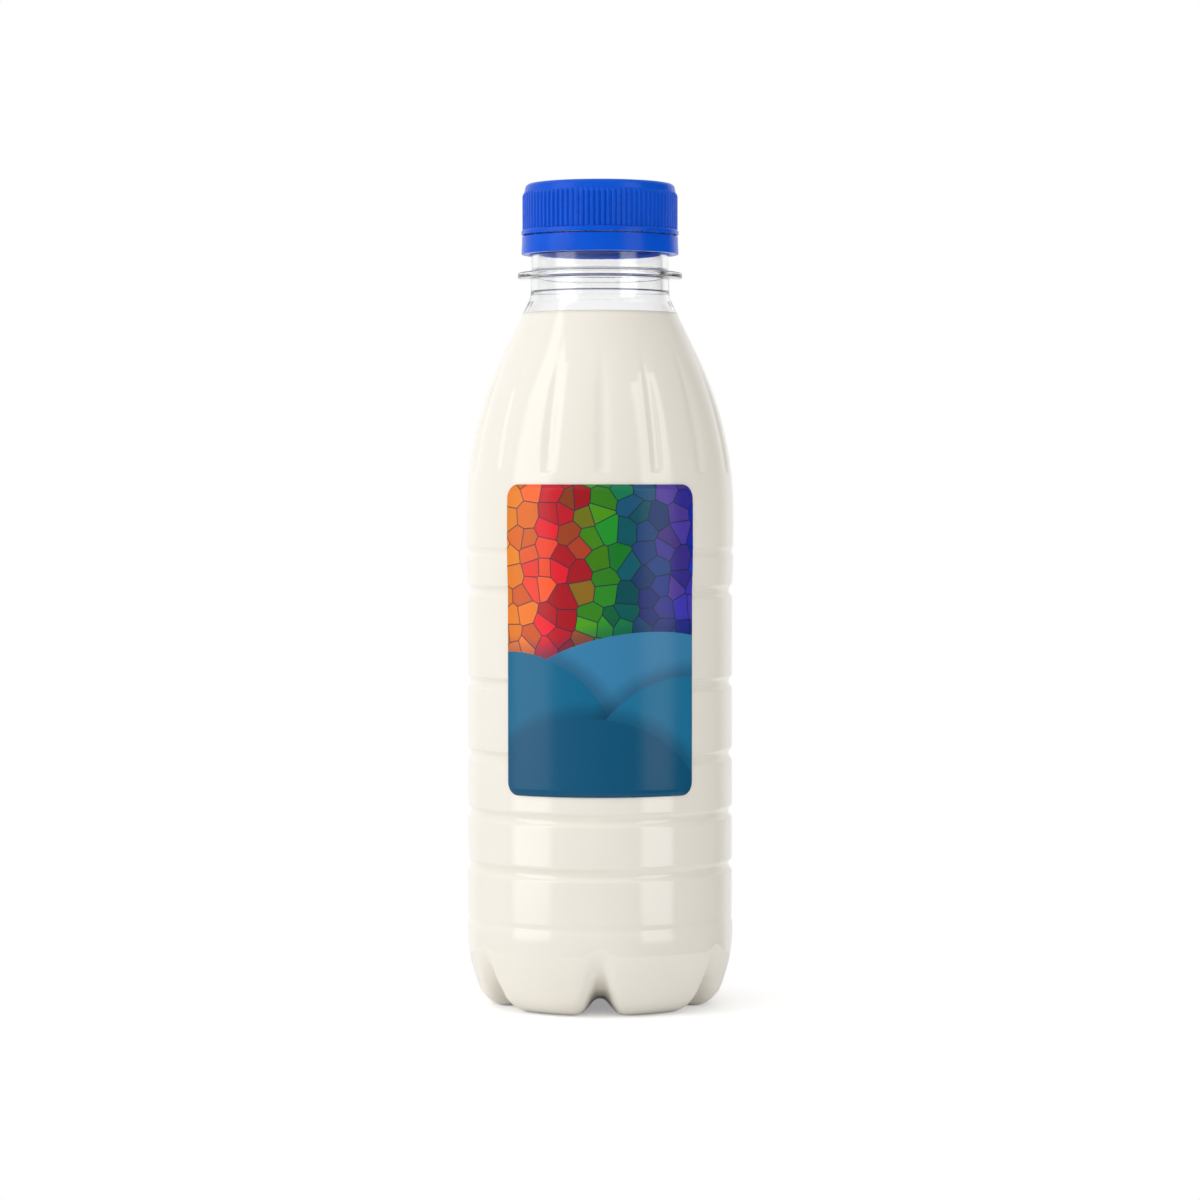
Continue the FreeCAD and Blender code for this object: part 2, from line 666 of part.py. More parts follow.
def cap_ribs():
    """The cap's wall with its grip ribs."""
    outline = doc.addObject("Part::Feature", "rib_outline")
    outline.Shape = rib_outline()
    outline.Placement = FreeCAD.Placement(FreeCAD.Vector(0, 0, value(RIB_BOTTOM)),
                                          FreeCAD.Rotation())
    ribs = add("Part::Extrusion", "ribs", LengthFwd=f"{RIB_TOP} - {RIB_BOTTOM}")
    ribs.Base = outline
    ribs.DirMode = "Custom"
    ribs.Dir = FreeCAD.Vector(0, 0, 1)
    ribs.Solid = True
    return ribs


def make_cap():
    """The screw cap with its ribs outside and its threads inside."""
    height = f"{THREAD_START} - {size('thread_lead')} / {size('thread_starts')} / 2"
    threads = thread_ridges("cap_thread", height, size("cap_thread_turn"),
                            f"{CAP_INSIDE} + {size('thread_bite')}",
                            f"{CAP_INSIDE} - {size('cap_thread_height')}")
    return joined("screw_cap", [cap_edge(), cap_ribs(), cap_plate()] + threads)


def make_seal():
    """The thin disc in the cap that closes the mouth."""
    return add("Part::Cylinder", "cap_liner",
               Radius=f"{CAP_INSIDE} - {size('seal_play')}",
               Height=size("seal_thickness"),
               Placement__Base__z=f"{MOUTH} + {size('seal_gap')}")


# The tamper band

def make_band():
    """The band that stays on the neck, with its catch under the neck's bead and its bridges."""
    top = f"({CAP_BOTTOM} - {size('slit')})"
    inner = f"({BEAD_RADIUS} + {size('bead_clearance')})"
    outer = f"({inner} + {size('band_wall')})"
    flared = f"({outer} + {size('band_flare')})"
    edge = size("band_edge")
    catch = f"({size('neck_radius')} + {size('catch_play')})"
    catch_top = f"({BEAD_BOTTOM} - {size('catch_drop')})"
    catch_low = f"({catch_top} - {size('catch_height')})"
    low = f"({catch_low} - {edge} * 2)"
    ring = turned_body("band_ring", [
        (f"{catch} + {edge} * 2", low),
        (f"{flared} - {edge}", low),
        (flared, f"{low} + {edge}"),
        (outer, top),
        (inner, top),
        (inner, catch_top),
        (catch, f"{catch_top} - {size('catch_height')} / 2"),
        (catch, catch_low),
    ])
    bridges = []
    count = int(value(size("bridge_count")))
    for index in range(count):
        # a bridge reaches down into the ring by its own depth
        facing = f"({index} + 0.5) * 360 / {size('bridge_count')}"
        reach = f"({outer} - {size('bridge_inset')} - {size('bridge_depth')})"
        bridge = add("Part::Box", f"bridge_{index}",
                     Length=size("bridge_depth"),
                     Width=size("bridge_width"),
                     Height=f"{size('slit')} + {size('bridge_depth')} - {size('bridge_gap')}")
        bridge.Placement = about_axis(value(facing))
        bind(bridge,
             Placement__Base__x=f"{reach} * cos({facing}) + {size('bridge_width')} / 2 * sin({facing})",
             Placement__Base__y=f"{reach} * sin({facing}) - {size('bridge_width')} / 2 * cos({facing})",
             Placement__Base__z=f"{top} - {size('bridge_depth')}")
        bridges.append(bridge)
    return joined("tamper_band", [ring] + bridges)


# The label

def make_label():
    """A thin skin on the front, which spans the grooves under it, with rounded corners."""
    gap = size("label_gap")
    thickness = size("label_thickness")
    mouth = (f"({size('groove_edge_round')} + {size('groove_floor_round')})"
             f" * sin({size('shallow_slope')})")
    slope = f"asin(({LABEL_TOP} - {SHOULDER}) / {size('shoulder_bend')})"

    def skin_line(out):
        bend = f"({size('shoulder_bend')} + {out})"
        top_across = f"{UPPER_RADIUS} - {size('shoulder_bend')} + {bend} * cos({slope})"
        return [
            (f"{size('body_radius')} + {out}", LABEL_BOTTOM),
            (f"{size('body_radius')} + {out}", DEEP_GROOVES[-1]),
            (f"{UPPER_RADIUS} + {out}", f"{SHALLOW} - {mouth}"),
            (f"{UPPER_RADIUS} + {out}", SHOULDER, bend, "left"),
            (top_across, f"{SHOULDER} + {bend} * sin({slope})"),
        ]

    outer = skin_line(f"({gap} + {thickness})")
    inner = skin_line(gap)[::-1]
    top, start = inner[0], inner[1]
    inner[0] = (*top, start[2], "right")
    inner[1] = start[:2]
    sleeve = turned_body("label_sleeve", outer + inner)
    half = f"({UPPER_RADIUS} * sin({size('label_half_angle')}))"
    corner = size("label_corner")
    low = LABEL_BOTTOM
    high = f"({LABEL_TOP} + {thickness})"
    window = loose_sketch("label_window", [
        (f"-{half} + {corner}", low),
        (f"{half} - {corner}", low, corner, "left"),
        (half, f"{low} + {corner}"),
        (half, f"{high} - {corner}", corner, "left"),
        (f"{half} - {corner}", high),
        (f"-{half} + {corner}", high, corner, "left"),
        (f"-{half}", f"{high} - {corner}"),
        (f"-{half}", f"{low} + {corner}", corner, "left"),
    ], XZ_PLANE)
    block = add("Part::Extrusion", "label_block", LengthFwd=f"{UPPER_RADIUS} * 2")
    block.Base = window
    block.DirMode = "Custom"
    block.Dir = FreeCAD.Vector(0, -1, 0)
    block.Solid = True
    return common("front_label", sleeve, block)


NODES = [make_bottle(), make_liquid(), make_cap(), make_seal(), make_band(), make_label()]
doc.recompute()

faults = [f"{item.Name}: {item.State}" for item in doc.Objects
          if "Invalid" in item.State or "Error" in item.State]
for node in NODES:
    if node.Shape.isNull() or not node.Shape.isValid():
        faults.append(f"{node.Label}: no valid shape")
    elif len(node.Shape.Solids) != 1:
        faults.append(f"{node.Label}: {len(node.Shape.Solids)} solids")
if faults:
    raise RuntimeError("; ".join(faults))

os.makedirs("parts", exist_ok=True)
for node in NODES:
    node.Shape.exportStep(f"parts/{node.Label}.step")
    box = node.Shape.BoundBox
    print(f"{node.Label}: {node.Shape.Volume / 1000:.2f} cm3, z {box.ZMin:.2f} to {box.ZMax:.2f},"
          f" radius {max(box.XMax, box.YMax):.2f}")
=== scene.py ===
# %% [markdown]
# # A bottle of liquid laundry detergent
#
# A clear blow-moulded bottle with six feet, ring grooves and a fluted shoulder, filled with a creamy
# liquid, closed by a blue ribbed screw cap with its tamper band, and dressed with one front label.
# After the camera, the light and the finishes, the lesson follows the order in which such a pack is
# made: the outline that the mould gives, the blown shell, the liquid, the two blue mouldings, the
# sealing disc and the label. The bottle is drawn in millimetres and scaled to metres at the end.

# %% Load the frame and the tools
import math

import bmesh
import bpy
from mathutils import Matrix, Vector


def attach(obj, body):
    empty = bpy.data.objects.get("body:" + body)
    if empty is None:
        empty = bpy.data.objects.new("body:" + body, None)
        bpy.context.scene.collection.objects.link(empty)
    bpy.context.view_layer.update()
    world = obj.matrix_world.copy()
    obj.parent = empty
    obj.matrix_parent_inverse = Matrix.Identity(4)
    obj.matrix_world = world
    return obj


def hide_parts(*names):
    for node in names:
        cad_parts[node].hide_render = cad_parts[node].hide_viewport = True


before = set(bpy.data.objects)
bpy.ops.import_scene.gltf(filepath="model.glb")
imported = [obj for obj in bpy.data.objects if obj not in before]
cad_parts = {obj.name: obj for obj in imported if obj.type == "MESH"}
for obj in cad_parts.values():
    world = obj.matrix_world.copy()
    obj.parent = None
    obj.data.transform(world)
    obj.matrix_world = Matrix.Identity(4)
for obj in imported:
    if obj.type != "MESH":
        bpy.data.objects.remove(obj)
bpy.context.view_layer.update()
MM = 0.001
print("nodes:", sorted(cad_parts))

# %% [markdown]
# ## The camera
#
# The picture is taken from straight ahead, level with the label's upper edge, from almost a metre away.
# A long lens at that distance keeps the ring grooves nearly straight, as they are in the picture. The
# camera could be shifted to centre the bottle; tilting it down by two degrees does the same and keeps
# other views simple.

# %% Place the camera
CAMERA_PLACE = (0.0, -0.900, 0.1304)
CAMERA_AIM = Vector((0.0, 0.0, 0.1009))
LENS, SENSOR = 108.0, 36.0

camera = bpy.data.objects.new("camera", bpy.data.cameras.new("camera"))
bpy.context.scene.collection.objects.link(camera)
camera.location = CAMERA_PLACE
camera.data.lens = LENS
camera.data.sensor_width = SENSOR
look = CAMERA_AIM - camera.location
camera.rotation_euler = look.to_track_quat("-Z", "Y").to_euler()
bpy.context.scene.camera = camera
print("camera looks down by", round(math.degrees(math.atan2(-look.z, look.y)), 2), "degrees")

# %% [markdown]
# ## Short words for shader nodes
#
# The lamps, the room and every material are built from nodes. A few helpers keep that readable: each
# makes one node, joins its inputs to values or to the outputs of other nodes, and hands back its result.

# %% Helpers for nodes
MIX_A, MIX_B, MIX_OUT = 6, 7, 2
BLACK, WHITE = (0.0, 0.0, 0.0), (1.0, 1.0, 1.0)


def node(tree, kind, values=None, **settings):
    """A new node. Each input takes a value or another node's output."""
    item = tree.nodes.new(kind)
    for key, value in settings.items():
        setattr(item, key, value)
    for key, value in (values or {}).items():
        if isinstance(value, bpy.types.NodeSocket):
            tree.links.new(value, item.inputs[key])
        else:
            item.inputs[key].default_value = value
    return item


def maths(tree, operation, *values):
    """A number worked out from others."""
    return node(tree, "ShaderNodeMath", dict(enumerate(values)), operation=operation).outputs[0]


def spread(tree, source, low, high, to_low=0.0, to_high=1.0, smooth=False):
    """A number brought from one span to another and held inside it."""
    way = "SMOOTHSTEP" if smooth else "LINEAR"
    values = {"Value": source, "From Min": low, "From Max": high, "To Min": to_low, "To Max": to_high}
    return node(tree, "ShaderNodeMapRange", values, interpolation_type=way).outputs["Result"]


def split(tree, source):
    """The X, Y and Z parts of a direction or a colour."""
    return node(tree, "ShaderNodeSeparateXYZ", {0: source}).outputs


def noise(tree, place, scale, detail, roughness=0.5):
    """The value of a noise texture."""
    values = {"Vector": place, "Scale": scale, "Detail": detail, "Roughness": roughness}
    return node(tree, "ShaderNodeTexNoise", values).outputs["Fac"]


def ramp(tree, source, stops, interpolation="EASE"):
    """A colour that follows a number through stops of (place, (red, green, blue))."""
    item = node(tree, "ShaderNodeValToRGB", {"Fac": source})
    band = item.color_ramp
    band.interpolation = interpolation
    while len(band.elements) > 1:
        band.elements.remove(band.elements[-1])
    band.elements[0].position = stops[0][0]
    band.elements[0].color = (*stops[0][1], 1.0)
    for place, colour in stops[1:]:
        band.elements.new(place).color = (*colour, 1.0)
    return item.outputs["Color"]


def mixed(tree, share, first, second):
    """The first colour turned into the second by a share."""
    values = {"Factor": share, MIX_A: first, MIX_B: second}
    return node(tree, "ShaderNodeMix", values, data_type="RGBA").outputs[MIX_OUT]


def mixed_shader(tree, share, first, second):
    """The first shader turned into the second by a share."""
    return node(tree, "ShaderNodeMixShader", {"Fac": share, 1: first, 2: second}).outputs[0]


def new_material(name):
    """An empty material and its node tree."""
    material = bpy.data.materials.new(name)
    material.use_nodes = True
    material.node_tree.nodes.clear()
    return material, material.node_tree


def object_place(tree):
    """The place of a point in its object's own coordinates."""
    return node(tree, "ShaderNodeTexCoord").outputs["Object"]


print("a mix of colours reads sockets", MIX_A, "and", MIX_B)

# %% [markdown]
# ## Light
#
# Two tall soft boxes stand beside the bottle and draw the long upright reflections on its wall. Their
# places are read from those reflections: a reflection at an angle on a round wall comes from a lamp at
# twice that angle. They reach a little below the table, because the lowest reflections point down. The
# left one is wider and taller, the right one slightly stronger. The light of both falls away near
# their edges, so that the reflections end softly.

# %% Two soft boxes
SOFT_SIDE, SOFT_END = 0.22, 0.06
LAMP_AWAY, LAMP_FOOT = 0.9, -0.13


def soften(data):
    """Lets the light of a soft box fall away near its four edges."""
    data.use_nodes = True
    tree = data.node_tree
    tree.nodes.clear()
    place = split(tree, node(tree, "ShaderNodeNewGeometry").outputs["Parametric"])
    edges = []
    for axis, width in (("X", SOFT_SIDE), ("Y", SOFT_END)):
        from_edge = maths(tree, "PINGPONG", place[axis], 0.5)
        edges.append(spread(tree, from_edge, 0.0, width, smooth=True))
    light = node(tree, "ShaderNodeEmission", {"Strength": maths(tree, "MULTIPLY", *edges)})
    node(tree, "ShaderNodeOutputLight", {"Surface": light.outputs[0]})


def soft_box(name, from_azimuth, to_azimuth, top, strength):
    """A tall lamp that covers a span of directions, in degrees from the camera's side to the right."""
    middle = math.radians((from_azimuth + to_azimuth) / 2)
    half = math.radians((to_azimuth - from_azimuth) / 2)
    lamp = bpy.data.objects.new(name, bpy.data.lights.new(name, "AREA"))
    bpy.context.scene.collection.objects.link(lamp)
    lamp.data.shape = "RECTANGLE"
    lamp.data.size = 2 * LAMP_AWAY * math.tan(half)
    lamp.data.size_y = top - LAMP_FOOT
    lamp.data.energy = strength * math.pi * lamp.data.size * lamp.data.size_y
    lamp.location = (LAMP_AWAY * math.sin(middle), -LAMP_AWAY * math.cos(middle), (top + LAMP_FOOT) / 2)
    inward = Vector((-lamp.location.x, -lamp.location.y, 0.0))
    lamp.rotation_euler = inward.to_track_quat("-Z", "Y").to_euler()
    soften(lamp.data)
    print(lamp.name, [round(v, 3) for v in lamp.location], round(lamp.data.energy, 2), "W")


soft_box("left_soft_box", -84.0, -38.0, 1.15, 1.7)
soft_box("right_soft_box", 32.0, 68.0, 0.95, 1.9)

# %% [markdown]
# ## The room
#
# Behind the bottle stands a white backdrop. In front of it the room is grey and grows darker from left
# to right, so the liquid turns slowly darker to the right too. A pale ceiling lightens what faces up.
# The world shader reads all three from the direction: backdrop from its Y part, fill from its X part
# and ceiling from its Z part. What the camera sees directly is plain white, strength one.

# %% The world
BACKDROP, CEILING = 0.98, 0.55
BACKDROP_FROM, BACKDROP_TO = 0.76, 0.92
CEILING_FROM, CEILING_TO = 0.3, 0.9
FILL = [(0.12, (0.71, 0.71, 0.72)), (0.42, (0.46, 0.46, 0.46)), (0.62, (0.31, 0.31, 0.31)),
        (0.88, (0.10, 0.098, 0.094))]

world = bpy.data.worlds.new("studio")
bpy.context.scene.world = world
world.use_nodes = True
tree = world.node_tree
tree.nodes.clear()
direction = split(tree, node(tree, "ShaderNodeTexCoord").outputs["Generated"])
behind = ramp(tree, spread(tree, direction["Y"], -1.0, 1.0), [(BACKDROP_FROM, BLACK), (BACKDROP_TO, WHITE)])
front = ramp(tree, spread(tree, direction["X"], -1.0, 1.0), FILL)
above = spread(tree, direction["Z"], CEILING_FROM, CEILING_TO, to_high=CEILING)
lit = node(tree, "ShaderNodeVectorMath", {0: front, 1: above}, operation="ADD").outputs[0]
room = mixed(tree, behind, lit, (BACKDROP, BACKDROP, BACKDROP, 1.0))
around = node(tree, "ShaderNodeBackground", {"Color": room, "Strength": 1.0})
seen = node(tree, "ShaderNodeBackground", {"Color": (*WHITE, 1.0), "Strength": 1.0})
rays = node(tree, "ShaderNodeLightPath").outputs
choice = mixed_shader(tree, rays["Is Camera Ray"], around.outputs[0], seen.outputs[0])
node(tree, "ShaderNodeOutputWorld", {"Surface": choice})
bpy.context.scene.view_settings.view_transform = "Standard"
print("the room: white behind, from grey to dark in front")

# %% [markdown]
# ## The floor
#
# A plain pale sheet. Near the bottle it is matt paint that takes the contact shadow and throws light
# back under the heel. A little light of its own, for the camera alone, lifts it to white, and further
# out it fades into plain white, so no edge shows against the backdrop. Reflections meet only a small
# table under the bottle, as in the studio, and pass on to the lamps beyond it. Seen from below the
# floor is open, so that the underside of the bottle can be looked at.

# %% The floor
FLOOR_RADIUS, TABLE_RADIUS = 2.0, 0.085
FADE_FROM, FADE_TO = 0.10, 0.24
LIFT = 0.3

floor_mesh = bmesh.new()
bmesh.ops.create_circle(floor_mesh, cap_ends=True, segments=96, radius=FLOOR_RADIUS)
floor_data = bpy.data.meshes.new("floor")
floor_mesh.to_mesh(floor_data)
floor_mesh.free()
floor = bpy.data.objects.new("floor", floor_data)
bpy.context.scene.collection.objects.link(floor)

floor_paint, tree = new_material("floor_paint")
place = object_place(tree)
reach = node(tree, "ShaderNodeVectorMath", {0: place}, operation="LENGTH").outputs["Value"]
rays = node(tree, "ShaderNodeLightPath").outputs
paper = ramp(tree, noise(tree, place, 900.0, 3.0), [(0.3, (0.90, 0.90, 0.90)), (0.7, (0.93, 0.93, 0.93))])
paint = node(tree, "ShaderNodeBsdfPrincipled",
             {"Base Color": paper, "Roughness": 0.9, "Specular IOR Level": 0.1})
glow = maths(tree, "MULTIPLY", rays["Is Camera Ray"], LIFT)
lift = node(tree, "ShaderNodeEmission", {"Color": (*WHITE, 1.0), "Strength": glow})
near = node(tree, "ShaderNodeAddShader", {0: paint.outputs[0], 1: lift.outputs[0]})
white = node(tree, "ShaderNodeEmission", {"Color": (*WHITE, 1.0), "Strength": 1.0})
fade = spread(tree, reach, FADE_FROM, FADE_TO, smooth=True)
far = maths(tree, "MULTIPLY", fade, rays["Is Camera Ray"])
sheet = mixed_shader(tree, far, near.outputs[0], white.outputs[0])
past_table = maths(tree, "GREATER_THAN", reach, TABLE_RADIUS)
unseen = maths(tree, "MULTIPLY", past_table, rays["Is Glossy Ray"])
below = node(tree, "ShaderNodeNewGeometry").outputs["Backfacing"]
open_floor = node(tree, "ShaderNodeBsdfTransparent").outputs[0]
table = mixed_shader(tree, maths(tree, "MAXIMUM", unseen, below), sheet, open_floor)
node(tree, "ShaderNodeOutputMaterial", {"Surface": table})
floor.data.materials.append(floor_paint)
print("floor faces up:", floor_data.polygons[0].normal.z > 0)

# %% [markdown]
# ## Shared finishes
#
# Every moulded piece of this pack has a very fine skin: the mould's polish leaves a low unevenness that
# bends long reflections a little, and handling leaves faint dull patches. One node group gives both, so
# the clear shell, the blue cap and the label film share the same kind of skin at their own strength.

# %% Group: moulded skin
def new_group(name, inputs, outputs):
    """A shader group with inputs (name, start value) and outputs, and the values given to it."""
    group = bpy.data.node_groups.new(name, "ShaderNodeTree")
    for title, start in inputs:
        kind = "NodeSocketVector" if isinstance(start, tuple) else "NodeSocketFloat"
        group.interface.new_socket(title, in_out="INPUT", socket_type=kind).default_value = start
    for title in outputs:
        group.interface.new_socket(title, in_out="OUTPUT", socket_type="NodeSocketFloat")
    return group, group.nodes.new("NodeGroupInput").outputs


moulded_skin, given = new_group(
    "moulded_skin",
    [("Wave Scale", 60.0), ("Wave Height", 1.0), ("Grain Scale", 2500.0), ("Grain Height", 0.1),
     ("Roughness", 0.2), ("Smudge", 0.1)],
    ["Height", "Roughness"])
place = object_place(moulded_skin)
wave = noise(moulded_skin, place, given["Wave Scale"], 1.0, 0.4)
grain = noise(moulded_skin, place, given["Grain Scale"], 2.0, 0.6)
smudge = noise(moulded_skin, place, 38.0, 2.0)
low = maths(moulded_skin, "MULTIPLY", wave, given["Wave Height"])
fine = maths(moulded_skin, "MULTIPLY_ADD", grain, given["Grain Height"], low)
patch = spread(moulded_skin, smudge, 0.35, 0.75, smooth=True)
dull = maths(moulded_skin, "MULTIPLY_ADD", patch, given["Smudge"], given["Roughness"])
node(moulded_skin, "NodeGroupOutput", {"Height": fine, "Roughness": dull})


def skin(tree, strength, **values):
    """The moulded skin at a strength, as the two inputs of a shader that it fills."""
    inputs = {key.replace("_", " "): value for key, value in values.items()}
    laid = node(tree, "ShaderNodeGroup", inputs, node_tree=moulded_skin).outputs
    bump = node(tree, "ShaderNodeBump", {"Strength": strength, "Distance": MM, "Height": laid["Height"]})
    return {"Normal": bump.outputs["Normal"], "Roughness": laid["Roughness"]}


def plain_shader(tree, values):
    """A shader for an opaque piece, joined to the material's output."""
    shader = node(tree, "ShaderNodeBsdfPrincipled", values)
    node(tree, "ShaderNodeOutputMaterial", {"Surface": shader.outputs[0]})


print("group:", moulded_skin.name)

# %% [markdown]
# ## Clear polyester
#
# The shell is polyester, a glass-like plastic with a refractive index of about 1.57. The shader is plain
# transmission. A real clear wall lets lamp light straight through to the liquid, and a renderer finds
# that path only with great effort, so the wall is simply open to the rays that gather light.

# %% Material: clear polyester
POLYESTER_INDEX = 1.57
clear_polyester, tree = new_material("clear_polyester")
wall = node(tree, "ShaderNodeBsdfPrincipled", {
    "Base Color": (0.985, 0.99, 0.99, 1.0), "IOR": POLYESTER_INDEX, "Transmission Weight": 1.0,
    **skin(tree, 0.12, Wave_Scale=55.0, Wave_Height=1.0, Grain_Scale=1800.0, Grain_Height=0.02,
           Roughness=0.015, Smudge=0.03)})
rays = node(tree, "ShaderNodeLightPath").outputs
gathering = maths(tree, "MAXIMUM", rays["Is Shadow Ray"], rays["Is Diffuse Ray"])
open_wall = node(tree, "ShaderNodeBsdfTransparent", {"Color": (0.97, 0.975, 0.975, 1.0)})
wall_or_open = mixed_shader(tree, gathering, wall.outputs[0], open_wall.outputs[0])
node(tree, "ShaderNodeOutputMaterial", {"Surface": wall_or_open})
print("clear polyester: index", POLYESTER_INDEX)

# %% [markdown]
# ## Creamy liquid
#
# The liquid is an opaque emulsion the colour of thin cream. It has no surface of its own to speak of
# where it wets the wall, so nearly all its look is the matt colour, with a very slow change of tone
# where the emulsion has settled.

# %% Material: creamy liquid
creamy_liquid, tree = new_material("creamy_liquid")
stretch = node(tree, "ShaderNodeMapping", {"Vector": object_place(tree), "Scale": (1.0, 1.0, 0.35)})
cloud = noise(tree, stretch.outputs["Vector"], 26.0, 3.0)
plain_shader(tree, {
    "Base Color": ramp(tree, cloud, [(0.3, (0.885, 0.832, 0.738)), (0.7, (0.915, 0.866, 0.780))]),
    "Specular IOR Level": 0.12, "IOR": 1.35,
    **skin(tree, 0.05, Wave_Scale=30.0, Wave_Height=1.0, Grain_Scale=900.0, Grain_Height=0.01,
           Roughness=0.35, Smudge=0.08)})
print("creamy liquid ready")

# %% [markdown]
# ## Blue polyethylene
#
# Cap and tamper band are one moulding of pigmented polyethylene: an even strong blue with a soft, waxy
# gloss. The pigment is slightly uneven, which shows as a faint drift of tone, and the skin is a little
# duller than the bottle's.

# %% Material: blue polyethylene
blue_plastic, tree = new_material("blue_plastic")
drift = noise(tree, object_place(tree), 70.0, 4.0, 0.6)
plain_shader(tree, {
    "Base Color": ramp(tree, drift, [(0.3, (0.0, 0.080, 0.61)), (0.7, (0.0, 0.094, 0.68))]),
    "Specular IOR Level": 0.16, "IOR": 1.5,
    **skin(tree, 0.25, Wave_Scale=160.0, Wave_Height=0.25, Grain_Scale=5200.0, Grain_Height=0.03,
           Roughness=0.22, Smudge=0.06)})
print("blue plastic ready")

# %% [markdown]
# ## Sealing disc
#
# The disc in the cap is thin foamed plastic: white, matt, with fine pores.

# %% Material: foamed disc
foam, tree = new_material("foamed_disc")
pores = node(tree, "ShaderNodeTexVoronoi", {"Vector": object_place(tree), "Scale": 2600.0})
plain_shader(tree, {
    "Base Color": ramp(tree, pores.outputs["Distance"],
                       [(0.1, (0.74, 0.74, 0.72)), (0.5, (0.86, 0.86, 0.85))]),
    "Specular IOR Level": 0.3,
    **skin(tree, 0.3, Wave_Scale=400.0, Wave_Height=0.1, Grain_Scale=2600.0, Grain_Height=0.2,
           Roughness=0.6, Smudge=0.1)})
print("foamed disc ready")

# %% [markdown]
# ## The outline of the bottle
#
# A blow mould is turned on a lathe, so the bottle starts as half an outline beside the axis. It is
# written as sharp corners with a rounding for each, as a drawing would give it, and a small helper turns
# every corner into an arc. Straight stretches get close points only where feet, flutes or a thread are
# made later. The others get one point near each end, so that smooth shading stays true on the flat.

# %% Rounded corners into points
def rounded(corners, turn=15.0, chord=2.6):
    """Points along an outline of (across, up, rounding) corners, at most so far and so bent apart."""
    points = [Vector(corners[0][:2])]
    for before, here, after in zip(corners, corners[1:], corners[2:]):
        corner = Vector(here[:2])
        into = (corner - Vector(before[:2])).normalized()
        away = (Vector(after[:2]) - corner).normalized()
        bend = into.angle_signed(away)
        radius = here[2] if len(here) > 2 else 0.0
        if radius == 0.0 or abs(bend) < 0.001:
            points.append(corner)
            continue
        run = radius * math.tan(abs(bend) / 2)
        start = corner - into * run
        side = Vector((into.y, -into.x)) if bend > 0 else Vector((-into.y, into.x))
        centre = start + side * radius
        steps = max(2, round(math.degrees(abs(bend)) / turn), math.ceil(radius * abs(bend) / chord))
        for step in range(steps + 1):
            swing = Matrix.Rotation(-bend * step / steps, 2)
            points.append(centre + swing @ (start - centre))
    points.append(Vector(corners[-1][:2]))
    return points


quarter = rounded([(0, 0), (2, 0, 1), (2, 2)], 45)
print("a quarter bend:", [tuple(round(v, 2) for v in point) for point in quarter])

# %% The corners of the bottle's skin
BODY = 33.1
LOW = 33.3
UPPER = 33.4
GROOVES = (35.1, 48.4, 62.8, 80.8, 103.5)
SHALLOW_GROOVE = 113.2
GROOVE_SLOPE, SHALLOW_SLOPE = 46.0, 34.0
GROOVE_EDGE, GROOVE_FLOOR = 1.2, 1.58
LIQUID_LEVEL = 172.0
NECK_FOOT, NECK, BORE, LIP = 17.3, 17.1, 15.27, 202.4
RING, RING_LOW, RING_HIGH = 20.5, 181.05, 182.35
BEAD, BEAD_LOW, BEAD_HIGH = 17.95, 188.6, 189.1


def groove(height, radius, slope):
    """The three corners of one ring groove: edge, floor, edge. The arcs leave a short flat between."""
    mouth = (GROOVE_EDGE + GROOVE_FLOOR) * math.sin(math.radians(slope))
    reach = mouth - GROOVE_EDGE * math.tan(math.radians(slope / 2))
    depth = reach * math.tan(math.radians(slope))
    return [(radius, height - reach, GROOVE_EDGE - 0.2), (radius - depth, height, GROOVE_FLOOR - 0.1),
            (radius, height + reach, GROOVE_EDGE - 0.2)]


base = [(0.0, 3.2), (4.0, 3.2, 2.0), (22.75, 0.0, 0.6), (29.02, 0.0, 7.25), (LOW, 13.18, 30.0)]
wall_up = [(LOW, 20.5, 1.0), (BODY - 0.15, 21.7, 0.9), (BODY, 22.9, 1.0)]
for height in GROOVES:
    wall_up += groove(height, BODY, GROOVE_SLOPE)
wall_up += groove(SHALLOW_GROOVE, UPPER, SHALLOW_SLOPE)
shoulder = [(UPPER, 143.11, 90.0), (NECK_FOOT, 176.40, 5.0)]
neck = [(NECK_FOOT, RING_LOW, 0.25), (RING, RING_LOW, 0.3), (RING, RING_HIGH, 0.3), (NECK, 182.95, 0.5),
        (NECK, BEAD_LOW, 0.1), (BEAD, BEAD_LOW, 0.12), (BEAD, BEAD_HIGH, 0.12), (NECK, 190.4, 0.4),
        (NECK, LIP, 0.5), (BORE, LIP, 0.5)]
print("corners:", len(base) + len(wall_up) + len(shoulder) + len(neck))


# %% Fill the straights
def filled(points, spacing):
    """Adds points on long straights: at a spacing that depends on the height, or near their ends."""
    full = [points[0]]
    for start, end in zip(points, points[1:]):
        length = (end - start).length
        step = spacing((start.y + end.y) / 2)
        if step and length > step:
            count = math.ceil(length / step)
            full += [start.lerp(end, n / count) for n in range(1, count)]
        elif length > 2.4:
            full += [start.lerp(end, 0.3 / length), start.lerp(end, 1 - 0.3 / length)]
        full.append(end)
    return full


def carving_spacing(height):
    """Close points where the feet, the flutes and the thread are made."""
    if height < 24.0:
        return 1.25
    if 122.0 < height < 172.0:
        return 2.8
    if 191.0 < height < 201.5:
        return 0.55
    return None


skin_points = filled(rounded(base + wall_up + shoulder + neck), carving_spacing)
mouth_edge = skin_points[-1]
skin_points = [p for p in skin_points if (p - mouth_edge).length > 0.01]
print("points on the skin:", len(skin_points))

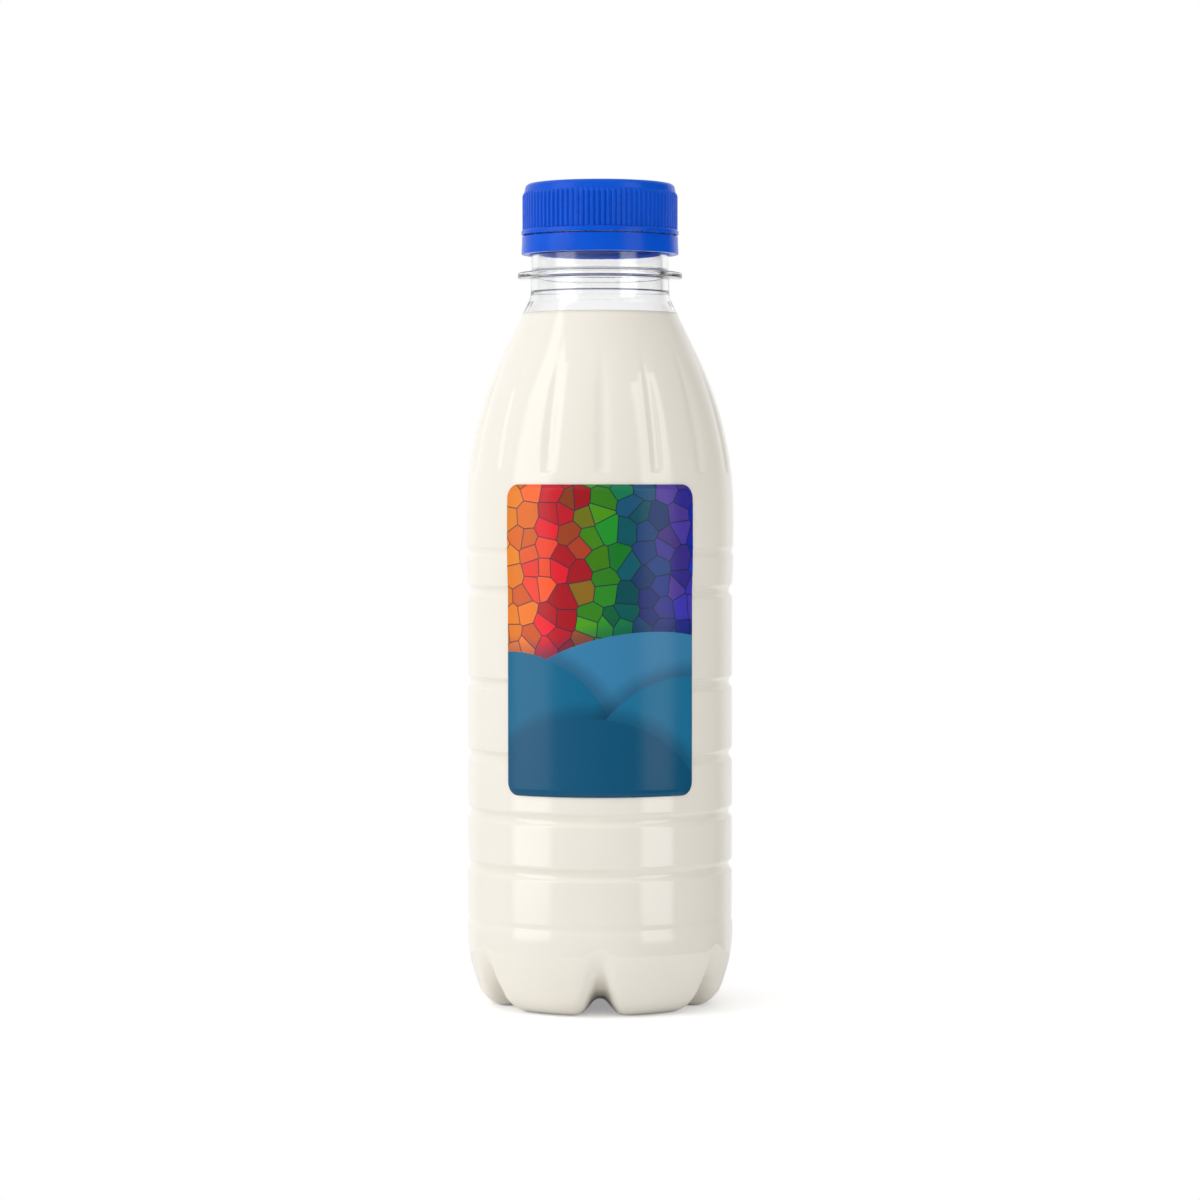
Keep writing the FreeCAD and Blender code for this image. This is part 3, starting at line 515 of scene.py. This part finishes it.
# %% [markdown]
# ## Feet and flutes
#
# The mould presses six valleys into the base, which leave six feet, and fifteen shallow flutes into the
# shoulder. Boolean cuts would do it, but they leave long thin triangles that show in a clear wall. Here
# each point of the turned skin is pushed inwards until it leaves the cutter, and the edge between wall
# and valley is rounded by a smooth maximum, as a blown wall rounds it. Points of the deep valleys all
# move towards one place on the axis, so the rows never cross on their way round the toe.

# %% How far a point is from a valley's cutter
VALLEYS, FIRST_VALLEY = 6, -90.0
INNER_BEND, INNER_TURN, END_TURN = 56.0, math.radians(24.0), math.radians(74.0)
VALLEY_BOTTOM, VALLEY_ROUND, FLANK = 1.0, 1.8, math.radians(29.0)
VALLEY_OUT = LOW + 2.8
OUTER_BEND = (VALLEY_OUT - INNER_BEND * math.sin(INNER_TURN)) / (math.sin(END_TURN) - math.sin(INNER_TURN))
INNER_CENTRE = Vector((0.0, VALLEY_BOTTOM + INNER_BEND))
MEETING = INNER_CENTRE + INNER_BEND * Vector((math.sin(INNER_TURN), -math.cos(INNER_TURN)))
OUTER_CENTRE = MEETING + OUTER_BEND * Vector((-math.sin(INNER_TURN), math.cos(INNER_TURN)))


def in_pattern(x, y, first, count):
    """Along and across the nearest of several evenly turned directions."""
    pitch = 360.0 / count
    angle = math.degrees(math.atan2(y, x))
    off = math.radians((angle - first + pitch / 2) % pitch - pitch / 2)
    radius = math.hypot(x, y)
    return radius * math.cos(off), radius * math.sin(off)


def valley_distance(x, y, z, inset):
    """Distance to the nearest valley cutter: a rounded wedge led along two bends."""
    along, across = in_pattern(x, y, FIRST_VALLEY, VALLEYS)
    turned = math.atan2(along - INNER_CENTRE.x, INNER_CENTRE.y - z)
    if turned < INNER_TURN:
        above = INNER_BEND - math.hypot(along - INNER_CENTRE.x, z - INNER_CENTRE.y)
    else:
        above = OUTER_BEND - math.hypot(along - OUTER_CENTRE.x, z - OUTER_CENTRE.y)
    above += VALLEY_ROUND
    if above * math.cos(FLANK) > abs(across) * math.sin(FLANK):
        return math.hypot(across, above) - VALLEY_ROUND - inset
    return abs(across) * math.cos(FLANK) + above * math.sin(FLANK) - VALLEY_ROUND - inset


print("valley at the wall's foot:", round(valley_distance(0.0, -LOW, 10.0, 0.0), 2))

# %% How far a point is from a flute's cutter
FLUTES, FIRST_FLUTE = 15, -89.0
FLUTE_CENTRE = Vector((-79.293, 117.677))
FLUTE_BEND, FLUTE_ROUND = 116.0, 3.3
FLUTE_LOW, FLUTE_HIGH = math.radians(7.7), math.radians(24.5)


def flute_distance(x, y, z, inset):
    """Distance to the nearest flute cutter: a long tube bent less than the shoulder."""
    along, across = in_pattern(x, y, FIRST_FLUTE, FLUTES)
    sideways = along - FLUTE_CENTRE.x
    up = z - FLUTE_CENTRE.y
    slope = math.atan2(up, sideways)
    ends = max(FLUTE_LOW - slope, slope - FLUTE_HIGH) * FLUTE_BEND
    tube = math.hypot(math.hypot(sideways, up) - FLUTE_BEND, across) - FLUTE_ROUND - inset
    return max(tube, ends - inset)


print("flute at its deepest:", round(flute_distance(0.58, -31.9, 140.0, 0.0), 2))

# %% Push the points out of the cutters
FOOT_TOP, FLUTES_FROM, FLUTES_TO = 26.0, 126.0, 168.0
FOOT_CENTRE = Vector((0.0, 0.0, 40.0))
FOOT_BLEND, FOOT_DEEPEST = 2.1, 24.0
FLUTE_BLEND, FLUTE_DEEPEST = 0.3, 1.0


def smooth_max(a, b, blend):
    """The larger of two numbers, with a rounded change from one to the other."""
    share = max(blend - abs(a - b), 0.0) / blend
    return max(a, b) + share * share * blend / 4


def pushed(point, normal, way, distance, inset, blend, deepest):
    """The point moved against the way until it lies on the carved wall."""
    if distance(point.x, point.y, point.z, inset) > blend:
        return point
    slant = normal.dot(way)
    low, high = 0.0, deepest
    for _ in range(22):
        middle = (low + high) / 2
        place = point - way * middle
        if smooth_max(-middle * slant, -distance(*place, inset), blend) > 0.0:
            low = middle
        else:
            high = middle
    return point - way * high


def carve(mesh):
    """Carves feet and flutes into a turned skin, whose points know their outline normal and inset."""
    layer = mesh.verts.layers.float_vector["outline"]
    moved = 0
    for vertex in mesh.verts:
        across, up, inset = vertex[layer]
        place = vertex.co.copy()
        turn = math.atan2(place.y, place.x)
        normal = Vector((across * math.cos(turn), across * math.sin(turn), up))
        if place.z < FOOT_TOP:
            way = (place - FOOT_CENTRE).normalized()
            vertex.co = pushed(place, normal, way, valley_distance, inset, FOOT_BLEND, FOOT_DEEPEST)
        elif FLUTES_FROM < place.z < FLUTES_TO:
            vertex.co = pushed(place, normal, normal, flute_distance, inset, FLUTE_BLEND, FLUTE_DEEPEST)
        moved += (vertex.co - place).length > 0.0001
    return moved


print("a rounded edge between walls:", smooth_max(0.0, 0.0, FOOT_BLEND))

# %% [markdown]
# ## Turning an outline
#
# Spin turns the outline round the axis. One spin of hundreds of steps is slow, and the flutes need finer
# steps than the wall between them, so only one share of the turn is spun: fine steps across a flute,
# then wider ones. A second spin copies that share round the axis, and the seams are merged. Each vertex
# carries its outline's normal and inset on a layer, which spin copies to every step.

# %% Turn in sectors
FLUTE_SHARE = [(7.2, 8), (16.8, 6)]
SHARE_START = FIRST_FLUTE - 3.6


def outline_normals(points):
    """Normals that point to the right of the way along the outline, which is outwards here."""
    normals = []
    for index in range(len(points)):
        before = points[max(index - 1, 0)]
        after = points[min(index + 1, len(points) - 1)]
        way = (after - before).normalized()
        normals.append(Vector((way.y, -way.x)))
    return normals


def turned(points, normals, insets, share, start=0.0):
    """A mesh turned about Z from an outline in mm, with the outline's normals kept on a layer.

    The share is a list of (degrees, steps), which is repeated until the turn is full.
    """
    mesh = bmesh.new()
    layer = mesh.verts.layers.float_vector.new("outline")
    row = []
    for point, normal, inset in zip(points, normals, insets):
        vertex = mesh.verts.new((point.x, 0.0, point.y))
        vertex[layer] = (normal.x, normal.y, inset)
        row.append(vertex)
    geometry = row + [mesh.edges.new(pair) for pair in zip(row, row[1:])]
    bmesh.ops.rotate(mesh, verts=row, matrix=Matrix.Rotation(math.radians(start), 3, "Z"))
    for angle, steps in share:
        swept = bmesh.ops.spin(mesh, geom=geometry, cent=(0, 0, 0), axis=(0, 0, 1),
                               angle=math.radians(angle), steps=steps, use_merge=False)
        geometry = swept["geom_last"]
    pitch = sum(angle for angle, _ in share)
    copies = round(360.0 / pitch) - 1
    everything = mesh.verts[:] + mesh.edges[:] + mesh.faces[:]
    bmesh.ops.spin(mesh, geom=everything, cent=(0, 0, 0), axis=(0, 0, 1), use_merge=False,
                   use_duplicate=True, angle=math.radians(pitch * copies), steps=copies)
    bmesh.ops.remove_doubles(mesh, verts=mesh.verts[:], dist=0.0005)
    return mesh


def lift_skin(mesh, rule):
    """Moves each point straight out from the axis, by what a rule says for its radius and place."""
    for vertex in mesh.verts:
        radius = math.hypot(vertex.co.x, vertex.co.y)
        lift = rule(radius, *vertex.co)
        if lift:
            vertex.co.x *= (radius + lift) / radius
            vertex.co.y *= (radius + lift) / radius


def finish_piece(mesh, name, material, body):
    """Scales a mesh from mm to metres, gives it a material and a body, and links it."""
    bmesh.ops.recalc_face_normals(mesh, faces=mesh.faces[:])
    bmesh.ops.scale(mesh, vec=(MM, MM, MM), verts=mesh.verts[:])
    for face in mesh.faces:
        face.smooth = True
    data = bpy.data.meshes.new(name)
    mesh.to_mesh(data)
    mesh.free()
    data.materials.append(material)
    piece = bpy.data.objects.new(name, data)
    bpy.context.scene.collection.objects.link(piece)
    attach(piece, body)
    data.calc_loop_triangles()
    print(name + ":", len(data.loop_triangles), "triangles")
    return piece


print("steps round the shell:", FLUTES * sum(steps for _, steps in FLUTE_SHARE))

# %% [markdown]
# ## The blown shell
#
# Outside and inside are one outline: up the skin, over the lip, down the thick moulded neck, out over a
# nearly flat ledge, and back down the thin blown wall to the middle of the base. The inner side copies
# the outer one at the wall's thickness, so the grooves show on both.

# %% The inner outline
WALL = 0.4
BORE_TOP = 201.6
coarse = filled(rounded(base + wall_up + shoulder + [(NECK_FOOT, 178.4)], 30.0, 4.0), lambda height: None)
coarse_normals = outline_normals(coarse)
inner_points = [p - n * WALL for p, n in zip(coarse, coarse_normals)]
inner_points = [p for p in inner_points if p.y < 176.9]
inner_normals = coarse_normals[:len(inner_points)]
inner_points[0].x = 0.0
ledge = rounded([(BORE, 178.2), (BORE, 177.8, 0.15), (16.93, 177.65, 0.3), tuple(inner_points[-1])], 22.5)
bore = [Vector((BORE, BORE_TOP))] + ledge[:-1]
lip = rounded([(NECK, 202.0), (NECK, LIP, 0.5), (BORE, LIP, 0.5), (BORE, 201.0)], 22.5)
print("points inside:", len(inner_points), "lowest", [round(v, 2) for v in inner_points[0]])

# %% Turn and carve the shell
outline = skin_points + [p for p in lip if p.x < skin_points[-1].x - 0.01 and p.y > 201.2]
outline += bore + inner_points[::-1]
middle_count = len(outline) - len(skin_points) - len(inner_points)
normals = outline_normals(skin_points) + [Vector((0.0, 0.0))] * middle_count + inner_normals[::-1]
insets = [0.0] * (len(skin_points) + middle_count) + [WALL] * len(inner_points)
shell = turned(outline, normals, insets, FLUTE_SHARE, SHARE_START)
print("points moved:", carve(shell))

# %% [markdown]
# The thread is drawn on the same skin: a point near one of the three helical lines is lifted by the
# thread's section, which fades in and out at its ends as a moulded thread does.

# %% Lift the neck thread
THREAD_LEAD, THREAD_HEIGHT, THREAD_ROOT, THREAD_CREST = 9.0, 0.9, 1.6, 0.7
NECK_THREAD_FROM, NECK_THREAD_TURNS = 194.6, 0.5


def thread_lift(x, y, z, start_height, turns, height):
    """How far a three-start thread stands out at a point."""
    lift = 0.0
    for start in (0.0, 120.0, 240.0):
        turn = ((math.degrees(math.atan2(y, x)) - start) % 360.0) / 360.0
        off = abs(z - start_height - THREAD_LEAD * turn)
        flank = min(max((THREAD_ROOT / 2 - off) / ((THREAD_ROOT - THREAD_CREST) / 2), 0.0), 1.0)
        ends = min(turn / 0.03, (turns - turn) / 0.03, 1.0)
        lift = max(lift, height * flank * max(ends, 0.0))
    return lift


def neck_lift(radius, x, y, z):
    """The thread, on the outside of the neck only."""
    if 192.0 < z < 201.2 and radius > 16.5:
        return thread_lift(x, y, z, NECK_THREAD_FROM, NECK_THREAD_TURNS, THREAD_HEIGHT)
    return 0.0


lift_skin(shell, neck_lift)
bottle_shell = finish_piece(shell, "bottle_shell", clear_polyester, "bottle_body")
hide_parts("bottle")

# %% [markdown]
# ## The liquid
#
# The liquid wets the wall. If its mesh stopped short of the wall, a thin film of air would mirror like
# silver, so its skin lies in the middle of the wall's thickness and the renderer meets it before it
# leaves the plastic. It has the same feet, grooves and flutes, and its level climbs a little at the
# wall.

# %% Turn and carve the liquid
WETTING = 0.2
pool = filled(rounded(base + wall_up + shoulder), carving_spacing)
wet = [(p, n) for p, n in zip(pool, outline_normals(pool)) if p.y < LIQUID_LEVEL + 0.6]
liquid_points = [p - n * WETTING for p, n in wet]
liquid_points[0].x = 0.0
edge = liquid_points[-1]
surface = [(edge.x - 0.25, LIQUID_LEVEL + 0.45), (edge.x - 0.7, LIQUID_LEVEL + 0.1),
           (edge.x - 1.6, LIQUID_LEVEL), (0.0, LIQUID_LEVEL)]
outline = liquid_points + [Vector(p) for p in surface]
normals = [n for _, n in wet] + [Vector((0.0, 0.0))] * len(surface)
pool_mesh = turned(outline, normals, [WETTING] * len(outline), FLUTE_SHARE, SHARE_START)
print("points moved:", carve(pool_mesh))
liquid = finish_piece(pool_mesh, "liquid", creamy_liquid, "bottle_body")
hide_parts("liquid_detergent")

# %% [markdown]
# ## The screw cap
#
# The cap is turned first, inside and outside in one outline, then its skin is lifted into ninety grip
# ribs. A rib is low, with a flat top and rounded flanks: its height falls with the fourth power of the
# way across, and with the square of the way past its ends. Eight steps for each rib keep them even.

# %% Turn the cap
CAP_TOP, CAP_FOOT, CAP_CEILING = 204.5, 191.8, 203.05
CAP_WALL, CAP_EDGE, CAP_INSIDE = 18.85, 19.6, 18.25
RIBS = 90
cap_outline = rounded([
    (0.0, CAP_TOP), (18.5, CAP_TOP, 1.2), (CAP_WALL, 202.4, 0.6), (CAP_WALL, 193.2, 0.05),
    (19.35, 193.0, 0.1), (CAP_EDGE, 192.75, 0.15), (CAP_EDGE, CAP_FOOT, 0.15),
    (CAP_INSIDE, CAP_FOOT, 0.1), (CAP_INSIDE, CAP_CEILING, 0.1), (0.0, CAP_CEILING)])


def cap_spacing(height):
    """Close rows on the ribs and on the threads."""
    return 0.45 if 192.9 < height < 202.6 else None


cap_points = filled(cap_outline, cap_spacing)
cap = turned(cap_points, outline_normals(cap_points), [0.0] * len(cap_points), [(360.0 / RIBS, 8)])
print("cap outline points:", len(cap_points))

# %% Lift the ribs and the cap's thread
RIB_HEIGHT, RIB_HALF = 0.5, 1.52
RIB_TOP, RIB_TOP_ROUND, RIB_FOOT, RIB_FOOT_ROUND = 201.5, 0.7, 193.3, 0.5
CAP_THREAD_FROM, CAP_THREAD_TURNS, CAP_THREAD_HEIGHT = 193.1, 0.42, 0.85


def rib_lift(x, y, z):
    """Height of the grip ribs."""
    half_pitch = 180.0 / RIBS
    angle = math.degrees(math.atan2(y, x))
    off = abs((angle + half_pitch) % (2 * half_pitch) - half_pitch) / RIB_HALF
    beyond = max((z - RIB_TOP) / RIB_TOP_ROUND, (RIB_FOOT - z) / RIB_FOOT_ROUND, 0.0)
    return RIB_HEIGHT * max(1.0 - off ** 4 - beyond * beyond, 0.0)


def cap_lift(radius, x, y, z):
    """Ribs outside, and a thread inside that stands towards the axis."""
    if 193.1 < z < 202.6 and radius > 18.6:
        return rib_lift(x, y, z)
    if 192.5 < z < 200.5 and 18.0 < radius < 18.4:
        return -thread_lift(x, y, z, CAP_THREAD_FROM, CAP_THREAD_TURNS, CAP_THREAD_HEIGHT)
    return 0.0


lift_skin(cap, cap_lift)
screw_cap = finish_piece(cap, "screw_cap_ribbed", blue_plastic, "cap_body")
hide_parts("screw_cap")

# %% [markdown]
# ## The tamper band
#
# The band stays on the neck when the cap is first opened. It is turned as a ring with a catch inside,
# and sixteen small bridges stand on it under the cap's edge, which tear when the cap is turned.

# %% Turn the band
BRIDGES = 16
BRIDGE_SIZE, BRIDGE_PLACE = (0.5, 0.55, 0.6), (18.95, 0.0, 191.47)
band_points = rounded([
    (19.45, 190.0), (19.45, 191.4, 0.12), (18.45, 191.4, 0.1), (18.45, 188.4, 0.1), (17.6, 187.9, 0.1),
    (17.6, 187.4, 0.15), (18.0, 187.0, 0.15), (19.6, 187.0, 0.25), (19.45, 190.0)])
band = turned(band_points, outline_normals(band_points), [0.0] * len(band_points), [(15.0, 12)])
print("band outline points:", len(band_points))

# %% Add the bridges
for index in range(BRIDGES):
    facing = Matrix.Rotation(math.radians((index + 0.5) * 360.0 / BRIDGES), 4, "Z")
    verts = bmesh.ops.create_cube(band, size=1.0)["verts"]
    bmesh.ops.scale(band, vec=BRIDGE_SIZE, verts=verts)
    bmesh.ops.translate(band, vec=BRIDGE_PLACE, verts=verts)
    bmesh.ops.rotate(band, cent=(0, 0, 0), matrix=facing, verts=verts)
    edges = {edge for vertex in verts for edge in vertex.link_edges}
    bmesh.ops.bevel(band, geom=list(edges), offset=0.08, segments=2, profile=0.5, material=-1,
                    affect="EDGES")
tamper_band = finish_piece(band, "tamper_band_ring", blue_plastic, "bottle_body")
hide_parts("tamper_band")

# %% [markdown]
# ## The sealing disc
#
# The CAD disc has the right shape: it only gets the foam finish.

# %% Finish the disc
disc_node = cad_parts["cap_liner"]
if not disc_node.material_slots:
    disc_node.data.materials.append(foam)
for slot in disc_node.material_slots:
    slot.material = foam
print("disc slots:", len(disc_node.material_slots))

# %% [markdown]
# ## The label's design
#
# The label carries a plain design of its own: a mosaic of coloured facets above, from orange through
# red and green to blue, and discs in quiet blues below, each with a soft shade just outside its rim.
# The facets are the cells of a Voronoi texture, whose cell centres pick the colour from a ramp, so every
# facet is one even colour as in print. The discs are distances from a few centres. Everything is laid
# out in millimetres on the flat label.

# %% Group: disc of print
RIM_HALF, SHADE_WIDTH, SHADE_DEPTH = 0.03, 5.0, 0.45
print_disc, given = new_group(
    "print_disc", [("Place", (0.0, 0.0, 0.0)), ("Centre", (0.0, 0.0, 0.0)), ("Radius", 0.0)],
    ["Mask", "Shade"])
span = node(print_disc, "ShaderNodeVectorMath", {0: given["Place"], 1: given["Centre"]},
            operation="DISTANCE").outputs["Value"]
inside = maths(print_disc, "SUBTRACT", given["Radius"], span)
node(print_disc, "NodeGroupOutput", {
    "Mask": spread(print_disc, inside, -RIM_HALF, RIM_HALF),
    "Shade": spread(print_disc, inside, -SHADE_WIDTH, 0.0, to_high=SHADE_DEPTH, smooth=True)})
print("group:", print_disc.name)

# %% Material: printed film
LABEL_WIDTH, LABEL_HEIGHT = 49.0, 75.6
FACETS_A_MM, FACET_DRIFT = 0.21, 5.0
RAINBOW = [
    (0.0, (0.90, 0.27, 0.010)), (0.13, (0.86, 0.17, 0.012)), (0.25, (0.68, 0.008, 0.020)),
    (0.38, (0.36, 0.006, 0.012)), (0.45, (0.07, 0.28, 0.004)), (0.55, (0.010, 0.24, 0.02)),
    (0.63, (0.0, 0.085, 0.10)), (0.76, (0.020, 0.035, 0.22)), (0.87, (0.08, 0.040, 0.30)),
    (1.0, (0.0, 0.02, 0.42))]
LEAD_LINE, SHADE = (0.008, 0.02, 0.045, 1.0), (0.0, 0.03, 0.075, 1.0)
DISCS = (
    ((38.0, -18.0), 58.0, (0.035, 0.21, 0.40)), ((2.0, 8.0), 27.0, (0.0, 0.13, 0.26)),
    ((47.0, 2.0), 27.0, (0.008, 0.165, 0.32)), ((22.0, -14.0), 33.0, (0.0, 0.085, 0.185)),
)

printed_film, tree = new_material("printed_film")
flat = node(tree, "ShaderNodeUVMap", uv_map="flat").outputs["UV"]
sheet = node(tree, "ShaderNodeMapping",
             {"Vector": flat, "Scale": (LABEL_WIDTH, LABEL_HEIGHT, 1.0)}).outputs["Vector"]
facets = {"Vector": sheet, "Scale": FACETS_A_MM, "Randomness": 0.85}
cells = node(tree, "ShaderNodeTexVoronoi", facets, voronoi_dimensions="2D").outputs
edges = node(tree, "ShaderNodeTexVoronoi", facets, voronoi_dimensions="2D",
             feature="DISTANCE_TO_EDGE").outputs
chance = split(tree, cells["Color"])
shifted = maths(tree, "MULTIPLY_ADD", chance["X"], FACET_DRIFT, split(tree, cells["Position"])["X"])
rainbow = ramp(tree, spread(tree, shifted, 0.0, LABEL_WIDTH + FACET_DRIFT), RAINBOW, "LINEAR")
lightness = spread(tree, chance["Y"], 0.0, 1.0, 0.72, 1.3)
facet = node(tree, "ShaderNodeHueSaturation", {"Value": lightness, "Color": rainbow}).outputs["Color"]
printed = mixed(tree, spread(tree, edges["Distance"], 0.012, 0.035), LEAD_LINE, facet)
for middle, radius, colour in DISCS:
    disc = node(tree, "ShaderNodeGroup", {"Place": sheet, "Centre": (*middle, 0.0), "Radius": radius},
                node_tree=print_disc).outputs
    shaded = mixed(tree, disc["Shade"], printed, SHADE)
    printed = mixed(tree, disc["Mask"], shaded, (*colour, 1.0))
plain_shader(tree, {
    "Base Color": printed, "Specular IOR Level": 0.25, "IOR": 1.5,
    **skin(tree, 0.12, Wave_Scale=45.0, Wave_Height=0.6, Grain_Scale=3000.0, Grain_Height=0.03,
           Roughness=0.22, Smudge=0.04)})
print("label design ready")

# %% Material: the film's bare edge
film_edge, tree = new_material("film_edge")
fibres = noise(tree, object_place(tree), 1500.0, 3.0)
plain_shader(tree, {
    "Base Color": ramp(tree, fibres, [(0.3, (0.80, 0.74, 0.66)), (0.7, (0.88, 0.83, 0.76))]),
    "Specular IOR Level": 0.5, **skin(tree, 0.1, Roughness=0.3, Smudge=0.08)})
print("film edge ready")

# %% [markdown]
# ## The label
#
# The label is cut flat and then laid round the wall, as on the filling line. A square is scaled, its
# corners are bevelled round, an inset makes the thin bare margin, and bisecting cuts give it the lines
# along which it can bend. It bridges the grooves under it, follows the shoulder at its upper edge, and
# keeps its flat coordinates as a UV map for the print.

# %% Cut the label flat
CORNER, MARGIN = 3.2, 0.25

label = bmesh.new()
bmesh.ops.create_grid(label, x_segments=1, y_segments=1, size=0.5)
bmesh.ops.scale(label, vec=(LABEL_WIDTH, LABEL_HEIGHT, 1.0), verts=label.verts[:])
bmesh.ops.bevel(label, geom=label.verts[:], offset=CORNER, segments=8, profile=0.5, material=-1,
                affect="VERTICES")
bmesh.ops.inset_region(label, faces=label.faces[:], thickness=MARGIN, use_even_offset=True)
printed_face = max(label.faces, key=lambda face: face.calc_area())
for face in label.faces:
    face.material_index = 0 if face == printed_face else 1
cuts = [((x, 0, 0), (1, 0, 0)) for x in range(-24, 25)]
cuts += [((0, y, 0), (0, 1, 0)) for y in range(-36, 37, 3)]
for place, normal in cuts:
    bmesh.ops.bisect_plane(label, geom=label.verts[:] + label.edges[:] + label.faces[:],
                           plane_co=place, plane_no=normal)
flat_map = label.loops.layers.uv.new("flat")
for face in label.faces:
    for corner in face.loops:
        corner[flat_map].uv = (corner.vert.co.x / LABEL_WIDTH + 0.5, corner.vert.co.y / LABEL_HEIGHT + 0.5)
print("label faces:", len(label.faces))

# %% Lay it round the bottle
LABEL_MIDDLE = 92.0
LABEL_GAP, FILM = 0.03, 0.08
SHOULDER_START, SHOULDER_BEND = 122.5, 90.0
SWELL_END = SHALLOW_GROOVE - 2.0


def label_radius(height):
    """The wall under the label, without its grooves."""
    if height > SHOULDER_START:
        rise = height - SHOULDER_START
        return UPPER - SHOULDER_BEND + math.sqrt(SHOULDER_BEND ** 2 - rise ** 2)
    share = min(max((height - GROOVES[-1]) / (SWELL_END - GROOVES[-1]), 0.0), 1.0)
    return BODY + (UPPER - BODY) * share


for vertex in label.verts:
    height = LABEL_MIDDLE + vertex.co.y
    radius = label_radius(height) + LABEL_GAP
    angle = vertex.co.x / BODY - math.pi / 2
    vertex.co = (radius * math.cos(angle), radius * math.sin(angle), height)
bmesh.ops.recalc_face_normals(label, faces=label.faces[:])
if label.faces[0].normal.y > 0:
    bmesh.ops.reverse_faces(label, faces=label.faces[:])
bmesh.ops.solidify(label, geom=label.faces[:], thickness=-FILM)
front_label = finish_piece(label, "front_label_film", printed_film, "bottle_body")
front_label.data.materials.append(film_edge)
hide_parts("front_label")
